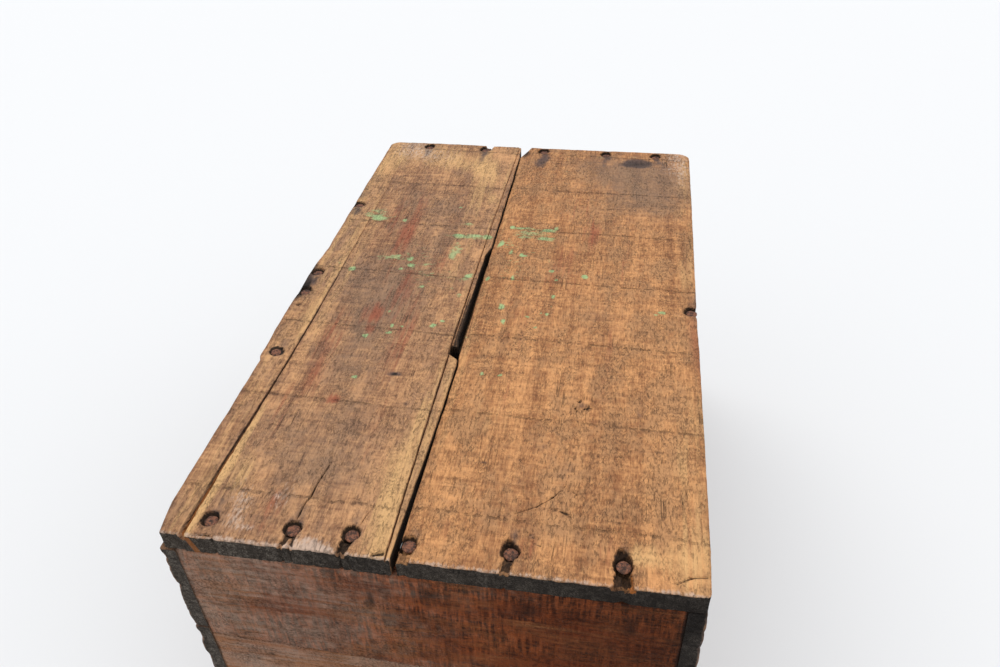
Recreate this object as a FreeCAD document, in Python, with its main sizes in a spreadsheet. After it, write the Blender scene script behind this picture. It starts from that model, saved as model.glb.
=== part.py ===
"""A nailed softwood apple crate, standing upside down on its open rim.

Frame: X across the crate, Y along it, Z up. The origin is the centre of the rectangle
that the rim stands on. Two bottom boards lie uppermost, over three slats on each long
side and two thicker boards at each end. Wire nails hold every board.
"""

import FreeCAD, Part
import os

import Sketcher
from FreeCAD import Placement, Rotation, Vector

SIZES = [
    # alias, value in mm or degrees, what it is
    ("crate_length", 500.0, "outside, along Y"),
    ("crate_width", 302.0, "outside, along X"),
    ("crate_height", 280.0, "from the rim to the outer face of the bottom"),
    ("bottom_thickness", 14.0, "bottom boards"),
    ("side_thickness", 11.0, "side slats"),
    ("end_thickness", 19.0, "end boards"),
    ("base_slat_width", 76.0, "side slat next to the bottom"),
    ("middle_slat_width", 93.0, "side slat at mid height"),
    ("slat_gap", 1.5, "open joint between two slats"),
    ("near_seam_left", 97.0, "bottom face to the near end's seam, at its left"),
    ("near_seam_right", 110.0, "the same at its right"),
    ("far_seam_left", 112.0, "bottom face to the far end's seam, at its left"),
    ("far_seam_right", 104.0, "the same at its right"),
    ("seam_gap", 0.6, "open joint between two end boards"),
    ("left_corner_radius", 10.0, "worn far corner of the left bottom board"),
    ("right_corner_radius", 12.0, "worn far corner of the right bottom board"),
    ("near_corner_radius", 3.0, "worn near corner of the right bottom board"),
    ("nail_length", 45.0, "with its head"),
    ("nail_head_radius", 4.0, "flat round head"),
    ("nail_head_thickness", 1.2, "flat round head"),
    ("nail_shank_radius", 1.4, "round wire"),
    ("nail_point_length", 5.0, "tapered point"),
    ("socket_radius", 4.7, "wood crushed in around a driven head"),
    ("socket_reach", 5.0, "from the top of a head out past the board's face"),
    ("bottom_nail_depth", 2.0, "bottom's outer face to the top of a head"),
    ("side_nail_depth", 0.8, "side's outer face to the top of a head"),
    ("near_nail_inset", 13.0, "bottom nails to the near end"),
    ("far_nail_inset", 8.0, "bottom nails to the far end"),
    ("side_near_nail_inset", 7.5, "side nails to the near end"),
    ("side_far_nail_inset", 13.0, "side nails to the far end"),
    ("leaning_nail_depth", 1.0, "bottom's outer face to the leaning nail's head"),
    ("leaning_nail_angle", 12.0, "how far that nail leans out of upright"),
]

# Nails through the bottom boards, as distances across from the left side's outer face.
LEFT_NEAR_NAILS = [30.0, 78.0, 111.0]
RIGHT_NEAR_NAILS = [143.5, 198.0, 257.0]
LEFT_FAR_NAILS = [45.0, 102.0]
RIGHT_FAR_NAILS = [161.0, 222.0, 270.0]

# Nails through the long edges: across from the left side's outer face, along from the near end.
LEFT_EDGE_NAILS = [(8.0, 368.0), (7.0, 258.0), (6.0, 232.0)]
LEANING_NAIL = (12.0, 158.0)
RIGHT_EDGE_NAIL = (297.5, 240.0)

# Heights of the side nails above the rim, two to a slat.
SIDE_NAIL_HEIGHTS = [18.0, 76.0, 112.0, 160.0, 207.0, 247.0]

ROUGH_RADIUS = 100.0  # of the circle that an outline's corners start on, before constraints
FULL_TURN = 360.0

os.makedirs("parts", exist_ok=True)
doc = FreeCAD.newDocument("apple_crate")

sizes = doc.addObject("Spreadsheet::Sheet", "sizes")
for row, (alias, value, meaning) in enumerate(SIZES, start=1):
    sizes.set(f"A{row}", meaning)
    sizes.set(f"B{row}", str(value))
    sizes.setAlias(f"B{row}", alias)
doc.recompute()
half_width = sizes.crate_width / 2
half_length = sizes.crate_length / 2


def from_left(distance):
    """Expression for a place across, measured from the left side's outer face."""
    return f"{distance} - sizes.crate_width / 2"


def from_right(distance):
    """Expression for a place across, measured from the right side's outer face."""
    return f"sizes.crate_width / 2 - {distance}"


def from_near(distance):
    """Expression for a place along, measured from the near end."""
    return f"{distance} - sizes.crate_length / 2"


def from_far(distance):
    """Expression for a place along, measured from the far end."""
    return f"sizes.crate_length / 2 - {distance}"


def bind(thing, **expressions):
    """Binds properties to the sheet. A double underscore in a name stands for a dot."""
    for name, expression in expressions.items():
        thing.setExpression(name.replace("__", "."), expression)


def place(thing, across, along, up):
    """Binds where a thing stands."""
    bind(thing, Placement__Base__x=across, Placement__Base__y=along, Placement__Base__z=up)


def closed_outline(sketch, corners):
    """Draws straight lines from corner to corner, each corner bound by two expressions."""
    count = len(corners)
    start = Vector(ROUGH_RADIUS, 0, 0)
    upwards = Vector(0, 0, 1)
    rough = [Rotation(upwards, FULL_TURN * i / count).multVec(start) for i in range(count)]
    for i in range(count):
        sketch.addGeometry(Part.LineSegment(rough[i], rough[(i + 1) % count]), False)
    for i in range(count):
        sketch.addConstraint(Sketcher.Constraint("Coincident", i, 2, (i + 1) % count, 1))
    for i, corner in enumerate(corners):
        for kind, expression in zip(("DistanceX", "DistanceY"), corner):
            number = sketch.addConstraint(Sketcher.Constraint(kind, -1, 1, i, 1, 1.0))
            sketch.setExpression(f"Constraints[{number}]", expression)


def plane_of(body, role):
    return next(f for f in body.Origin.OriginFeatures if f.Role == role)


def padded_body(name, plane, corners, thickness):
    """A body made from one outline, padded by a thickness expression."""
    body = doc.addObject("PartDesign::Body", name)
    sketch = body.newObject("Sketcher::SketchObject", name + "_outline")
    sketch.AttachmentSupport = (plane_of(body, plane), [""])
    sketch.MapMode = "FlatFace"
    closed_outline(sketch, corners)
    pad = body.newObject("PartDesign::Pad", name + "_pad")
    pad.Profile = sketch
    bind(pad, Length=thickness)
    doc.recompute()
    return body


def round_corner(body, corner, radius):
    """Rounds the upright edge of a body that stands nearest to a corner of its own frame."""
    last = body.Tip
    upright = []
    for i, edge in enumerate(last.Shape.Edges, start=1):
        foot, head = edge.Vertexes[0].Point, edge.Vertexes[-1].Point
        if foot.distanceToPoint(head) > 1.0 and abs(foot.x - head.x) + abs(foot.y - head.y) < 0.01:
            upright.append((Vector(foot.x, foot.y, 0).distanceToPoint(corner), f"Edge{i}"))
    fillet = body.newObject("PartDesign::Fillet", body.Name + "_worn_corner")
    fillet.Base = (last, [min(upright)[1]])
    bind(fillet, Radius=radius)
    doc.recompute()


# ---------------------------------------------------------------- nails

def turned_profile(name, corners):
    """An outline on the XZ plane, to be turned about Z."""
    sketch = doc.addObject("Sketcher::SketchObject", name)
    sketch.Placement = Placement(Vector(0, 0, 0), Rotation(Vector(1, 0, 0), 90))
    closed_outline(sketch, corners)
    return sketch


# Both profiles have the top of the head at zero, so a nail and its socket share a place.
nail_profile = turned_profile(
    "nail_profile",
    [
        ("0", "0"),
        ("sizes.nail_head_radius", "0"),
        ("sizes.nail_head_radius", "-sizes.nail_head_thickness"),
        ("sizes.nail_shank_radius", "-sizes.nail_head_thickness"),
        ("sizes.nail_shank_radius", "sizes.nail_point_length - sizes.nail_length"),
        ("0", "-sizes.nail_length"),
    ],
)
socket_profile = turned_profile(
    "socket_profile",
    [
        ("0", "-sizes.nail_head_thickness"),
        ("sizes.socket_radius", "-sizes.nail_head_thickness"),
        ("sizes.socket_radius", "sizes.socket_reach"),
        ("0", "sizes.socket_reach"),
    ],
)


def turned(name, profile, where, turn):
    thing = doc.addObject("Part::Revolution", name)
    thing.Source = profile
    thing.Axis = (0, 0, 1)
    thing.Angle = FULL_TURN
    thing.Solid = True
    thing.Placement = Placement(Vector(0, 0, 0), turn)
    place(thing, *where)
    return thing


def group(name, members):
    """One node of separate solids."""
    thing = doc.addObject("Part::Compound", name)
    thing.Links = members
    return thing


def driven_nails(name, places, turn=Rotation()):
    """A group of nails, each with its head's top at a place, and the sockets over the heads."""
    nails = []
    sockets = []
    for i, where in enumerate(places, start=1):
        nails.append(turned(f"{name}_{i}", nail_profile, where, turn))
        sockets.append(turned(f"{name}_socket_{i}", socket_profile, where, turn))
    return group(name, nails), sockets


bottom_head = "sizes.crate_height - sizes.bottom_nail_depth"


def bottom_row(name, distances, along):
    """Nails through the bottom in a row across the crate."""
    return driven_nails(name, [(from_left(distance), along, bottom_head) for distance in distances])


near_row = from_near("sizes.near_nail_inset")
far_row = from_far("sizes.far_nail_inset")
left_near, left_near_sockets = bottom_row("bottom_left_near_nails", LEFT_NEAR_NAILS, near_row)
right_near, right_near_sockets = bottom_row("bottom_right_near_nails", RIGHT_NEAR_NAILS, near_row)
left_far, left_far_sockets = bottom_row("bottom_left_far_nails", LEFT_FAR_NAILS, far_row)
right_far, right_far_sockets = bottom_row("bottom_right_far_nails", RIGHT_FAR_NAILS, far_row)
left_edge, left_edge_sockets = driven_nails(
    "bottom_left_edge_nails",
    [(from_left(across), from_near(along), bottom_head) for across, along in LEFT_EDGE_NAILS],
)
right_edge, right_edge_sockets = driven_nails(
    "bottom_right_edge_nail",
    [(from_left(RIGHT_EDGE_NAIL[0]), from_near(RIGHT_EDGE_NAIL[1]), bottom_head)],
)

# The leaning nail belongs to the left edge's group.
leaning_place = (
    from_left(LEANING_NAIL[0]),
    from_near(LEANING_NAIL[1]),
    "sizes.crate_height - sizes.leaning_nail_depth",
)
for profile, name in ((nail_profile, "leaning_nail"), (socket_profile, "leaning_nail_socket")):
    leaning = turned(name, profile, leaning_place, Rotation(Vector(0, 1, 0), 1.0))
    bind(leaning, Placement__Rotation__Angle="sizes.leaning_nail_angle")
left_edge.Links = left_edge.Links + [doc.leaning_nail]
left_edge_sockets.append(doc.leaning_nail_socket)


def side_column(name, head, turn, along):
    """Nails driven in through one side's slats, one above another."""
    return driven_nails(name, [(head, along, str(height)) for height in SIDE_NAIL_HEIGHTS], turn)


left_head = from_left("sizes.side_nail_depth")
right_head = from_right("sizes.side_nail_depth")
into_left = Rotation(Vector(0, 1, 0), -90)
into_right = Rotation(Vector(0, 1, 0), 90)
near_column = from_near("sizes.side_near_nail_inset")
far_column = from_far("sizes.side_far_nail_inset")
left_side_near, left_side_near_sockets = side_column(
    "left_side_near_nails", left_head, into_left, near_column
)
left_side_far, left_side_far_sockets = side_column(
    "left_side_far_nails", left_head, into_left, far_column
)
right_side_near, right_side_near_sockets = side_column(
    "right_side_near_nails", right_head, into_right, near_column
)
right_side_far, right_side_far_sockets = side_column(
    "right_side_far_nails", right_head, into_right, far_column
)


def nailed(name, board, tools):
    """The board with the holes of the nails that pass through it, as the finished sub-part."""
    holes = group(name + "_holes", tools)
    cut = doc.addObject("Part::Cut", name)
    cut.Base = board
    cut.Tool = holes
    return cut


# ---------------------------------------------------------------- bottom boards

# The split runs in from the near end as a thin wedge. The notch is where a splinter broke
# out beside the gap between the boards.
left_board = padded_body(
    "left_board_blank",
    "XY_Plane",
    [
        (from_left(6.0), from_near(0.0)),
        (from_left(2.0), from_near(22.0)),
        (from_left(2.5), from_near(60.0)),
        (from_left(3.5), from_near(148.0)),
        (from_left(1.0), from_near(152.0)),
        (from_left(1.0), from_near(265.0)),
        (from_left(3.5), from_near(295.0)),
        (from_left(3.5), from_far(0.0)),
        (from_left(137.0), from_far(0.0)),
        (from_left(138.2), from_near(310.0)),
        (from_left(135.0), from_near(300.0)),
        (from_left(134.0), from_near(182.0)),
        (from_left(131.0), from_near(181.0)),
        (from_left(132.0), from_near(175.0)),
        (from_left(138.0), from_near(168.0)),
        (from_left(139.2), from_near(160.0)),
        (from_left(138.5), from_near(100.0)),
        (from_left(135.5), from_near(0.0)),
        (from_left(19.5), from_near(0.0)),
        (from_left(24.0), from_near(200.0)),
        (from_left(17.0), from_near(0.0)),
    ],
    "sizes.bottom_thickness",
)
round_corner(left_board, Vector(-half_width, half_length, 0), "sizes.left_corner_radius")

# The far left corner is broken off along the grain, which leaves a V at the far end.
right_board = padded_body(
    "right_board_blank",
    "XY_Plane",
    [
        (from_left(138.5), from_near(0.0)),
        (from_left(139.0), from_near(100.0)),
        (from_left(139.7), from_near(160.0)),
        (from_left(138.5), from_near(170.0)),
        (from_left(138.6), from_near(310.0)),
        (from_left(138.8), from_far(22.0)),
        (from_left(147.0), from_far(0.0)),
        (from_right(0.0), from_far(0.0)),
        (from_right(0.0), from_near(0.0)),
    ],
    "sizes.bottom_thickness",
)
round_corner(right_board, Vector(half_width, half_length, 0), "sizes.right_corner_radius")
round_corner(right_board, Vector(half_width, -half_length, 0), "sizes.near_corner_radius")

for board in (left_board, right_board):
    place(board, "0", "0", "sizes.crate_height - sizes.bottom_thickness")

bottom_boards = [
    nailed(
        "bottom_board_left",
        left_board,
        [left_near, left_far, left_edge] + left_near_sockets + left_far_sockets + left_edge_sockets,
    ),
    nailed(
        "bottom_board_right",
        right_board,
        [right_near, right_far, right_edge]
        + right_near_sockets
        + right_far_sockets
        + right_edge_sockets,
    ),
]

# ---------------------------------------------------------------- side slats

under_bottom = "(sizes.crate_height - sizes.bottom_thickness)"
base_slat_foot = f"({under_bottom} - sizes.base_slat_width)"
middle_slat_top = f"({base_slat_foot} - sizes.slat_gap)"
middle_slat_foot = f"({middle_slat_top} - sizes.middle_slat_width)"
rim_slat_top = f"({middle_slat_foot} - sizes.slat_gap)"

SLATS = [
    # name, underside, width
    ("base", base_slat_foot, "sizes.base_slat_width"),
    ("middle", middle_slat_foot, "sizes.middle_slat_width"),
    ("rim", "0", rim_slat_top),
]


def side_slats(side, outer_left_face, edge_nails, side_tools):
    """The three slats of one long side. Only the base slat takes the bottom's edge nails."""
    slats = []
    for name, underside, width in SLATS:
        blank = doc.addObject("Part::Box", f"{side}_{name}_slat_blank")
        bind(blank, Length="sizes.side_thickness", Width="sizes.crate_length", Height=width)
        place(blank, outer_left_face, from_near(0.0), underside)
        tools = side_tools + [edge_nails] if name == "base" else side_tools
        slats.append(nailed(f"{side}_side_{name}_slat", blank, tools))
    return slats


left_slats = side_slats(
    "left",
    from_left(0.0),
    left_edge,
    [left_side_near, left_side_far] + left_side_near_sockets + left_side_far_sockets,
)
right_slats = side_slats(
    "right",
    from_right("sizes.side_thickness"),
    right_edge,
    [right_side_near, right_side_far] + right_side_near_sockets + right_side_far_sockets,
)

# ---------------------------------------------------------------- end boards

inner_left = from_left("sizes.side_thickness")
inner_right = from_right("sizes.side_thickness")


def end_boards(end, outer_face, nails):
    """The two boards of one end, which meet at a seam that runs a little downhill."""
    seam_left = f"sizes.crate_height - sizes.{end}_seam_left"
    seam_right = f"sizes.crate_height - sizes.{end}_seam_right"
    base = padded_body(
        f"{end}_base_board_blank",
        "XZ_Plane",
        [
            (inner_left, seam_left),
            (inner_right, seam_right),
            (inner_right, under_bottom),
            (inner_left, under_bottom),
        ],
        "sizes.end_thickness",
    )
    rim = padded_body(
        f"{end}_rim_board_blank",
        "XZ_Plane",
        [
            (inner_left, "0"),
            (inner_right, "0"),
            (inner_right, f"{seam_right} - sizes.seam_gap"),
            (inner_left, f"{seam_left} - sizes.seam_gap"),
        ],
        "sizes.end_thickness",
    )
    boards = []
    for name, body in (("base", base), ("rim", rim)):
        place(body, "0", outer_face, "0")
        boards.append(nailed(f"{end}_end_{name}_board", body, nails))
    return boards


# An outline on the XZ plane pads towards -Y, so each board's outer_face is its far face.
near_boards = end_boards(
    "near", from_near("sizes.end_thickness"), [left_near, right_near, left_side_near, right_side_near]
)
far_boards = end_boards(
    "far", from_far("0"), [left_far, right_far, left_side_far, right_side_far]
)

# ---------------------------------------------------------------- check and write

nail_groups = [
    left_near,
    right_near,
    left_far,
    right_far,
    left_edge,
    right_edge,
    left_side_near,
    left_side_far,
    right_side_near,
    right_side_far,
]
sub_parts = bottom_boards + left_slats + right_slats + near_boards + far_boards + nail_groups
for sub_part in sub_parts:
    sub_part.Label = sub_part.Name

doc.recompute()
for thing in doc.Objects:
    if {"Invalid", "Error"} & set(thing.State):
        raise RuntimeError(f"{thing.Name} failed: {thing.State}")
for sub_part in sub_parts:
    if sub_part.Shape.isNull() or not sub_part.Shape.isValid() or not sub_part.Shape.Solids:
        raise RuntimeError(f"{sub_part.Label} has no valid solid")
    sub_part.Shape.exportStep(f"parts/{sub_part.Label}.step")
    box = sub_part.Shape.BoundBox
    print(
        f"{sub_part.Label}: {len(sub_part.Shape.Solids)} solids, {sub_part.Shape.Volume / 1000:.1f} cm3,"
        f" x {box.XMin:.1f} to {box.XMax:.1f}, y {box.YMin:.1f} to {box.YMax:.1f},"
        f" z {box.ZMin:.1f} to {box.ZMax:.1f}"
    )
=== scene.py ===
"""Looks for a worn softwood apple crate that stands upside down on its open rim.

Every board is a fine grid bent to its worn outline, with sockets, cracks, chips and saw
marks in its surface. Shader groups add grain, stains, old paint and rust, and the shaders
also paint shade into hollows, sockets and the gaps between boards. Sizes are in
millimetres until a mesh is made. On a board, "across" is over the grain, "along" is with
it, and heights are measured from the outer face, so they are nought or less.
"""

import math

import bpy
import numpy as np
from mathutils import Matrix, Vector


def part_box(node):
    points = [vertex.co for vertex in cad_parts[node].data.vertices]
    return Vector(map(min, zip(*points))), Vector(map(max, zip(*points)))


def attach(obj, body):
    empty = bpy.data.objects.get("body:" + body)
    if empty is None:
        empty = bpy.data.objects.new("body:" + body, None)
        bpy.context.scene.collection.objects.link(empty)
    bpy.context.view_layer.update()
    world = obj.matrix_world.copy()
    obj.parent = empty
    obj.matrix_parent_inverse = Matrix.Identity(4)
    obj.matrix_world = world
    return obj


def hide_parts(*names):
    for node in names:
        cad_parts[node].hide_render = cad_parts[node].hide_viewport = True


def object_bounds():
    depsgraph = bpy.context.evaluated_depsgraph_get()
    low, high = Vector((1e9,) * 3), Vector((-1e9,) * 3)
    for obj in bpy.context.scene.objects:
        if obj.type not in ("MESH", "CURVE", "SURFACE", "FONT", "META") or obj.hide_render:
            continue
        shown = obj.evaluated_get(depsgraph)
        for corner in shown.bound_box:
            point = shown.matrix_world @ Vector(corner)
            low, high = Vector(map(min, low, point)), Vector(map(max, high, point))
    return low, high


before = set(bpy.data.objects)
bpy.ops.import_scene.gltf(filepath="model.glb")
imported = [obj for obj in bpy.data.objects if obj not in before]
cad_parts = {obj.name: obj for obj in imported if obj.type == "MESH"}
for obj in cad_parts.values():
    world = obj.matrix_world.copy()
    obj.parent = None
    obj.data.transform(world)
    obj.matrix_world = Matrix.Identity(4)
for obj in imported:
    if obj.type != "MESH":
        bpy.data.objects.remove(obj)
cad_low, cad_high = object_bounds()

MM = 0.001
ROOT = "root"
crate_length = (cad_high.y - cad_low.y) / MM
crate_width = (cad_high.x - cad_low.x) / MM
crate_height = (cad_high.z - cad_low.z) / MM


# ---------------------------------------------------------------- noise and shape helpers

def scatter(i, j, seed):
    """A fixed number from 0 to 1 for each lattice point."""
    n = (i * 374761393 + j * 668265263 + seed * 974634777) & 0xFFFFFFFF
    n = ((n ^ (n >> 13)) * 1274126177) & 0xFFFFFFFF
    return ((n ^ (n >> 16)) & 0xFFFF) / 65535.0


def lumps(a, b, width_a, width_b, seed, octaves=1):
    """Smooth noise from -1 to 1, its lumps width_a by width_b, each octave half as big."""
    total = 0.0
    strength = 1.0
    whole = 0.0
    for octave in range(octaves):
        x, y = a / width_a, b / width_b
        i, j = np.floor(x).astype(np.int64), np.floor(y).astype(np.int64)
        u, v = x - i, y - j
        u, v = u * u * (3 - 2 * u), v * v * (3 - 2 * v)
        lower = scatter(i, j, seed + octave) * (1 - u) + scatter(i + 1, j, seed + octave) * u
        upper = scatter(i, j + 1, seed + octave) * (1 - u) + scatter(i + 1, j + 1, seed + octave) * u
        total = total + strength * (2 * (lower * (1 - v) + upper * v) - 1)
        whole += strength
        strength *= 0.5
        width_a, width_b = width_a / 2, width_b / 2
    return total / whole


def ease(low, high, value):
    """0 below low, 1 above high and smooth between."""
    t = np.clip((value - low) / (high - low), 0.0, 1.0)
    return t * t * (3 - 2 * t)


def follow(path, along):
    """The value of a path of (along, value) points at each place along."""
    places, values = zip(*path)
    return np.interp(along, places, values)


def pull(grid, centre, reach):
    """1 on a grid line at centre, falling to 0 at reach to each side."""
    return np.clip(1 - np.abs(grid - centre) / reach, 0.0, 1.0)


def blot(a, l, across, along, width, length, seed=0):
    """A soft ragged spot that is 1 at its middle."""
    a = a + width * 0.35 * lumps(a, l, width * 0.9, length * 0.9, seed + 5)
    l = l + length * 0.35 * lumps(a, l, width * 0.8, length * 0.8, seed + 9)
    return np.exp(-(((a - across) / width) ** 2) - ((l - along) / length) ** 2)


def strongest(a, l, spots, seeds):
    """The strongest at each place of (across, along, half width, half length, strength) spots."""
    total = 0 * a
    for (across, along, width, length, strength), seed in zip(spots, seeds):
        total = np.maximum(total, strength * blot(a, l, across, along, width, length, seed))
    return total


def added(a, l, spots):
    """All (strength, across, along, half width, half length, seed) spots together."""
    return sum(strength * blot(a, l, *spot) for strength, *spot in spots)


def near_segment(a, l, start, end):
    """Distance to a straight stretch, and the share of the way along it."""
    da, dl = end[0] - start[0], end[1] - start[1]
    share = np.clip(((a - start[0]) * da + (l - start[1]) * dl) / (da * da + dl * dl), 0, 1)
    return np.hypot(a - start[0] - share * da, l - start[1] - share * dl), share


def trough(a, l, start, end, widths, depth, seed, rag=0.8):
    """A chip torn out from start to end, with ragged edges and a fibrous floor."""
    distance, share = near_segment(a, l, start, end)
    half = (widths[0] * (1 - share) + widths[1] * share) / 2
    distance = distance + rag * lumps(a, l, 1.6, 2.8, seed, 2)
    floor = 1 + 0.25 * lumps(a, l, 1.2, 6.0, seed + 3, 2)
    return -depth * floor * ease(half + 0.35, half - 0.55, distance)


def crack(a, l, path, width, depth, seed=0):
    """A crack that runs with the grain along a path of (along, across) points."""
    inside = (l >= path[0][0]) & (l <= path[-1][0])
    ends = np.clip(np.minimum(l - path[0][0], path[-1][0] - l) / 6.0, 0, 1)
    middle = follow(path, l) + 0.25 * lumps(l, 0 * l, 5.0, 1.0, seed, 2)
    share = np.clip(1 - np.abs(a - middle) / (width / 2 * (0.4 + 0.6 * ends)), 0, 1)
    return np.where(inside, -depth * ends * share**0.7, 0.0)


def worn_edge(distance, radius):
    """How far a face drops, as a negative height, at a distance from an edge worn round."""
    d = np.clip(distance, 0.0, radius)
    return -(radius - np.sqrt(np.maximum(radius**2 - (radius - d) ** 2, 0.0)))


def graded(start, end, coarse, details=()):
    """Grid lines from start to end, closer together round each (centre, reach, pitch)."""
    lines = [start]
    while lines[-1] < end:
        here = lines[-1]
        pitches = [fine + 0.3 * max(0.0, abs(here - c) - reach) for c, reach, fine in details]
        lines.append(here + min([coarse] + pitches))
    lines = np.array(lines)
    return start + (lines - start) * (end - start) / (lines[-1] - start)


# ---------------------------------------------------------------- boards

HEAD_SINK = 2.0  # outer face of the bottom to a driven head, as in the CAD
SIDE_HEAD_SINK = 0.8
HEAD_RADIUS = 4.0
HEAD_THICKNESS = 1.2
SOCKET_RADIUS = 5.0
END_ROW = 20.0  # nails nearer than this to the far end are crushed square on

MARKS = ("green", "red", "pale", "stain", "tone", "bare", "lip", "grime_and_shade", "saw")


def socket(a, l, nail, sink, seed):
    """The crushed hole that a driven nail head leaves above itself."""
    pushed = 0.9 if nail[1] < crate_length - END_ROW else 0.0
    across, along = nail[0] - 0.8, nail[1] + pushed
    distance = np.hypot(a - across, l - along)
    head = np.hypot(a - nail[0], l - nail[1]) + 0.3 * lumps(a, l, 0.9, 1.4, seed + 1)
    bearing = np.arctan2(l - along, a - across)
    rim = SOCKET_RADIUS + 1.1 * lumps(np.cos(bearing) * 1.3, np.sin(bearing) * 1.3, 1.0, 1.0, seed, 2)
    hole = ease(rim + 0.35, rim - 0.5, distance)
    hole = np.maximum(hole, ease(HEAD_RADIUS + 0.8, HEAD_RADIUS + 0.2, head))
    dished = np.exp(-((distance / (SOCKET_RADIUS * 1.35)) ** 4))
    return -(sink + HEAD_THICKNESS * 0.75) * hole - 0.45 * dished * (1 - hole)


class Board:
    """A sawn board, described by how its grid is bent and how deep its face lies."""

    ring_step = 6.0  # pitch of the coarse inner face
    depths = (0.0, 0.06, 0.2, 0.45, 0.7, 0.9, 1.0)
    nails = ()
    sink = HEAD_SINK
    edge_wear = 1.2
    end_wear = 1.0
    # How far from an edge or an end the grid is bent to the worn outline.
    edge_reach = 9.0
    near_reach = 24.0
    far_reach = 30.0

    def __init__(self, node, seed, thickness):
        self.node = node
        self.seed = seed
        self.thickness = thickness

    def low_edge(self, l):
        return self.across[0] + 0 * l

    def high_edge(self, l):
        return self.across[-1] + 0 * l

    def near_end(self, a):
        frayed = 0.45 * np.abs(lumps(a, 0 * a, 2.2, 1, self.seed + 31, 2))
        return self.along[0] + frayed + 0.5 * np.abs(lumps(a, 0 * a, 11.0, 1, self.seed + 33, 2))

    def far_end(self, a):
        return self.along[-1] - 0.35 * np.abs(lumps(a, 0 * a, 2.2, 1, self.seed + 37, 2))

    def bend(self, A, L):
        """Moves the square grid to the worn outline."""
        a = A + (self.low_edge(L) - self.across[0]) * pull(A, self.across[0], self.edge_reach)
        a = a + (self.high_edge(L) - self.across[-1]) * pull(A, self.across[-1], self.edge_reach)
        l = L + (self.near_end(A) - self.along[0]) * pull(L, self.along[0], self.near_reach)
        l = l + (self.far_end(A) - self.along[-1]) * pull(L, self.along[-1], self.far_reach)
        return a, l

    def face(self, a, l):
        """Height of the outer face."""
        seed = self.seed
        edges = np.minimum(a - self.low_edge(l), self.high_edge(l) - a)
        ends = np.minimum(l - self.near_end(a), self.far_end(a) - l)
        side = self.edge_wear * (1 + 0.5 * lumps(l, a * 0, 18.0, 1.0, seed + 1, 2))
        end = self.end_wear * (1 + 0.5 * lumps(a, l * 0, 9.0, 1.0, seed + 2, 2))
        h = worn_edge(edges, np.maximum(side, 0.3)) + worn_edge(ends, np.maximum(end, 0.3))
        h = h + 0.25 * (lumps(a, l, 60.0, 120.0, seed + 3) - 1)
        h = h + 0.09 * (lumps(a, l, 2.4, 26.0, seed + 4, 3) - 1)
        for i, nail in enumerate(self.nails):
            h = h + socket(a, l, nail, self.sink, seed + 11 * i)
        return np.minimum(h + self.extra(a, l), -0.01)

    def extra(self, a, l):
        return 0 * a

    def lean(self, a, l, h):
        """How far deep places shift across, where a crack runs in at a slant."""
        return 0 * a

    def wall(self, side, run, depth):
        """How far an edge or end stands in or out, in mm."""
        rough = 0.3 if side in ("near", "far") else 0.35  # ends are sawn, edges are torn
        return rough * lumps(run, depth, 6.0, 3.0, self.seed + 41 + len(side), 3) - 0.15

    def marks(self, a, l, h):
        """Masks for the shaders, from 0 to 1, each an array for every vertex."""
        return {}


def boundary(n, m):
    """Places round the edge of an n by m grid, with the side that each step lies on."""
    places = [(i, 0, "near") for i in range(n - 1)]
    places += [(n - 1, k, "high") for k in range(m - 1)]
    places += [(i, m - 1, "far") for i in range(n - 1, 0, -1)]
    places += [(0, k, "low") for k in range(m - 1, 0, -1)]
    return places


OUTWARD = {"near": (0, -1), "far": (0, 1), "low": (-1, 0), "high": (1, 0)}
FACE_SLOT, END_SLOT, INNER_SLOT = 0, 1, 2


def thinned(lines, step):
    """Indices of grid lines at least step apart, with the first and last."""
    kept = [0]
    for i in range(1, len(lines) - 1):
        if lines[i] - lines[kept[-1]] >= step and lines[-1] - lines[i] >= step * 0.6:
            kept.append(i)
    return kept + [len(lines) - 1]


def inner_cells(n, m, columns, stations):
    """Large faces for the inner face, which still meet every vertex round its edge."""
    for i0, i1 in zip(columns[:-1], columns[1:]):
        for k0, k1 in zip(stations[:-1], stations[1:]):
            left = range(k0, k1) if i0 == 0 else (k0,)
            far = range(i0, i1) if k1 == m - 1 else (i0,)
            right = range(k1, k0, -1) if i1 == n - 1 else (k1,)
            near = range(i1, i0, -1) if k0 == 0 else (i1,)
            cell = [(i0, k) for k in left] + [(i, k1) for i in far]
            cell += [(i1, k) for k in right] + [(i, k0) for i in near]
            yield [i * m + k for i, k in cell]


def edge_rows(board, face, back, ring, at):
    """Rows of points down the edges and ends, roughened between the two faces."""
    sides = np.array([side for _, _, side in ring])
    outward = np.array([OUTWARD[side] for side in sides], float)
    outward += np.roll(outward, 1, axis=0)
    outward /= np.linalg.norm(outward, axis=1)[:, None]
    rows = []
    for share in board.depths[1:-1]:
        row = face[at] * (1 - share) + back[at] * share
        strength = min(1.0, 6 * share, 6 * (1 - share))
        for side, (_, is_end) in OUTWARD.items():
            here = sides == side
            run = row[here, 0] if is_end else row[here, 1]
            bulge = strength * board.wall(side, run, row[here, 2])
            row[here, :2] += outward[here] * bulge[:, None]
        rows.append(row)
    return rows


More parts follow.
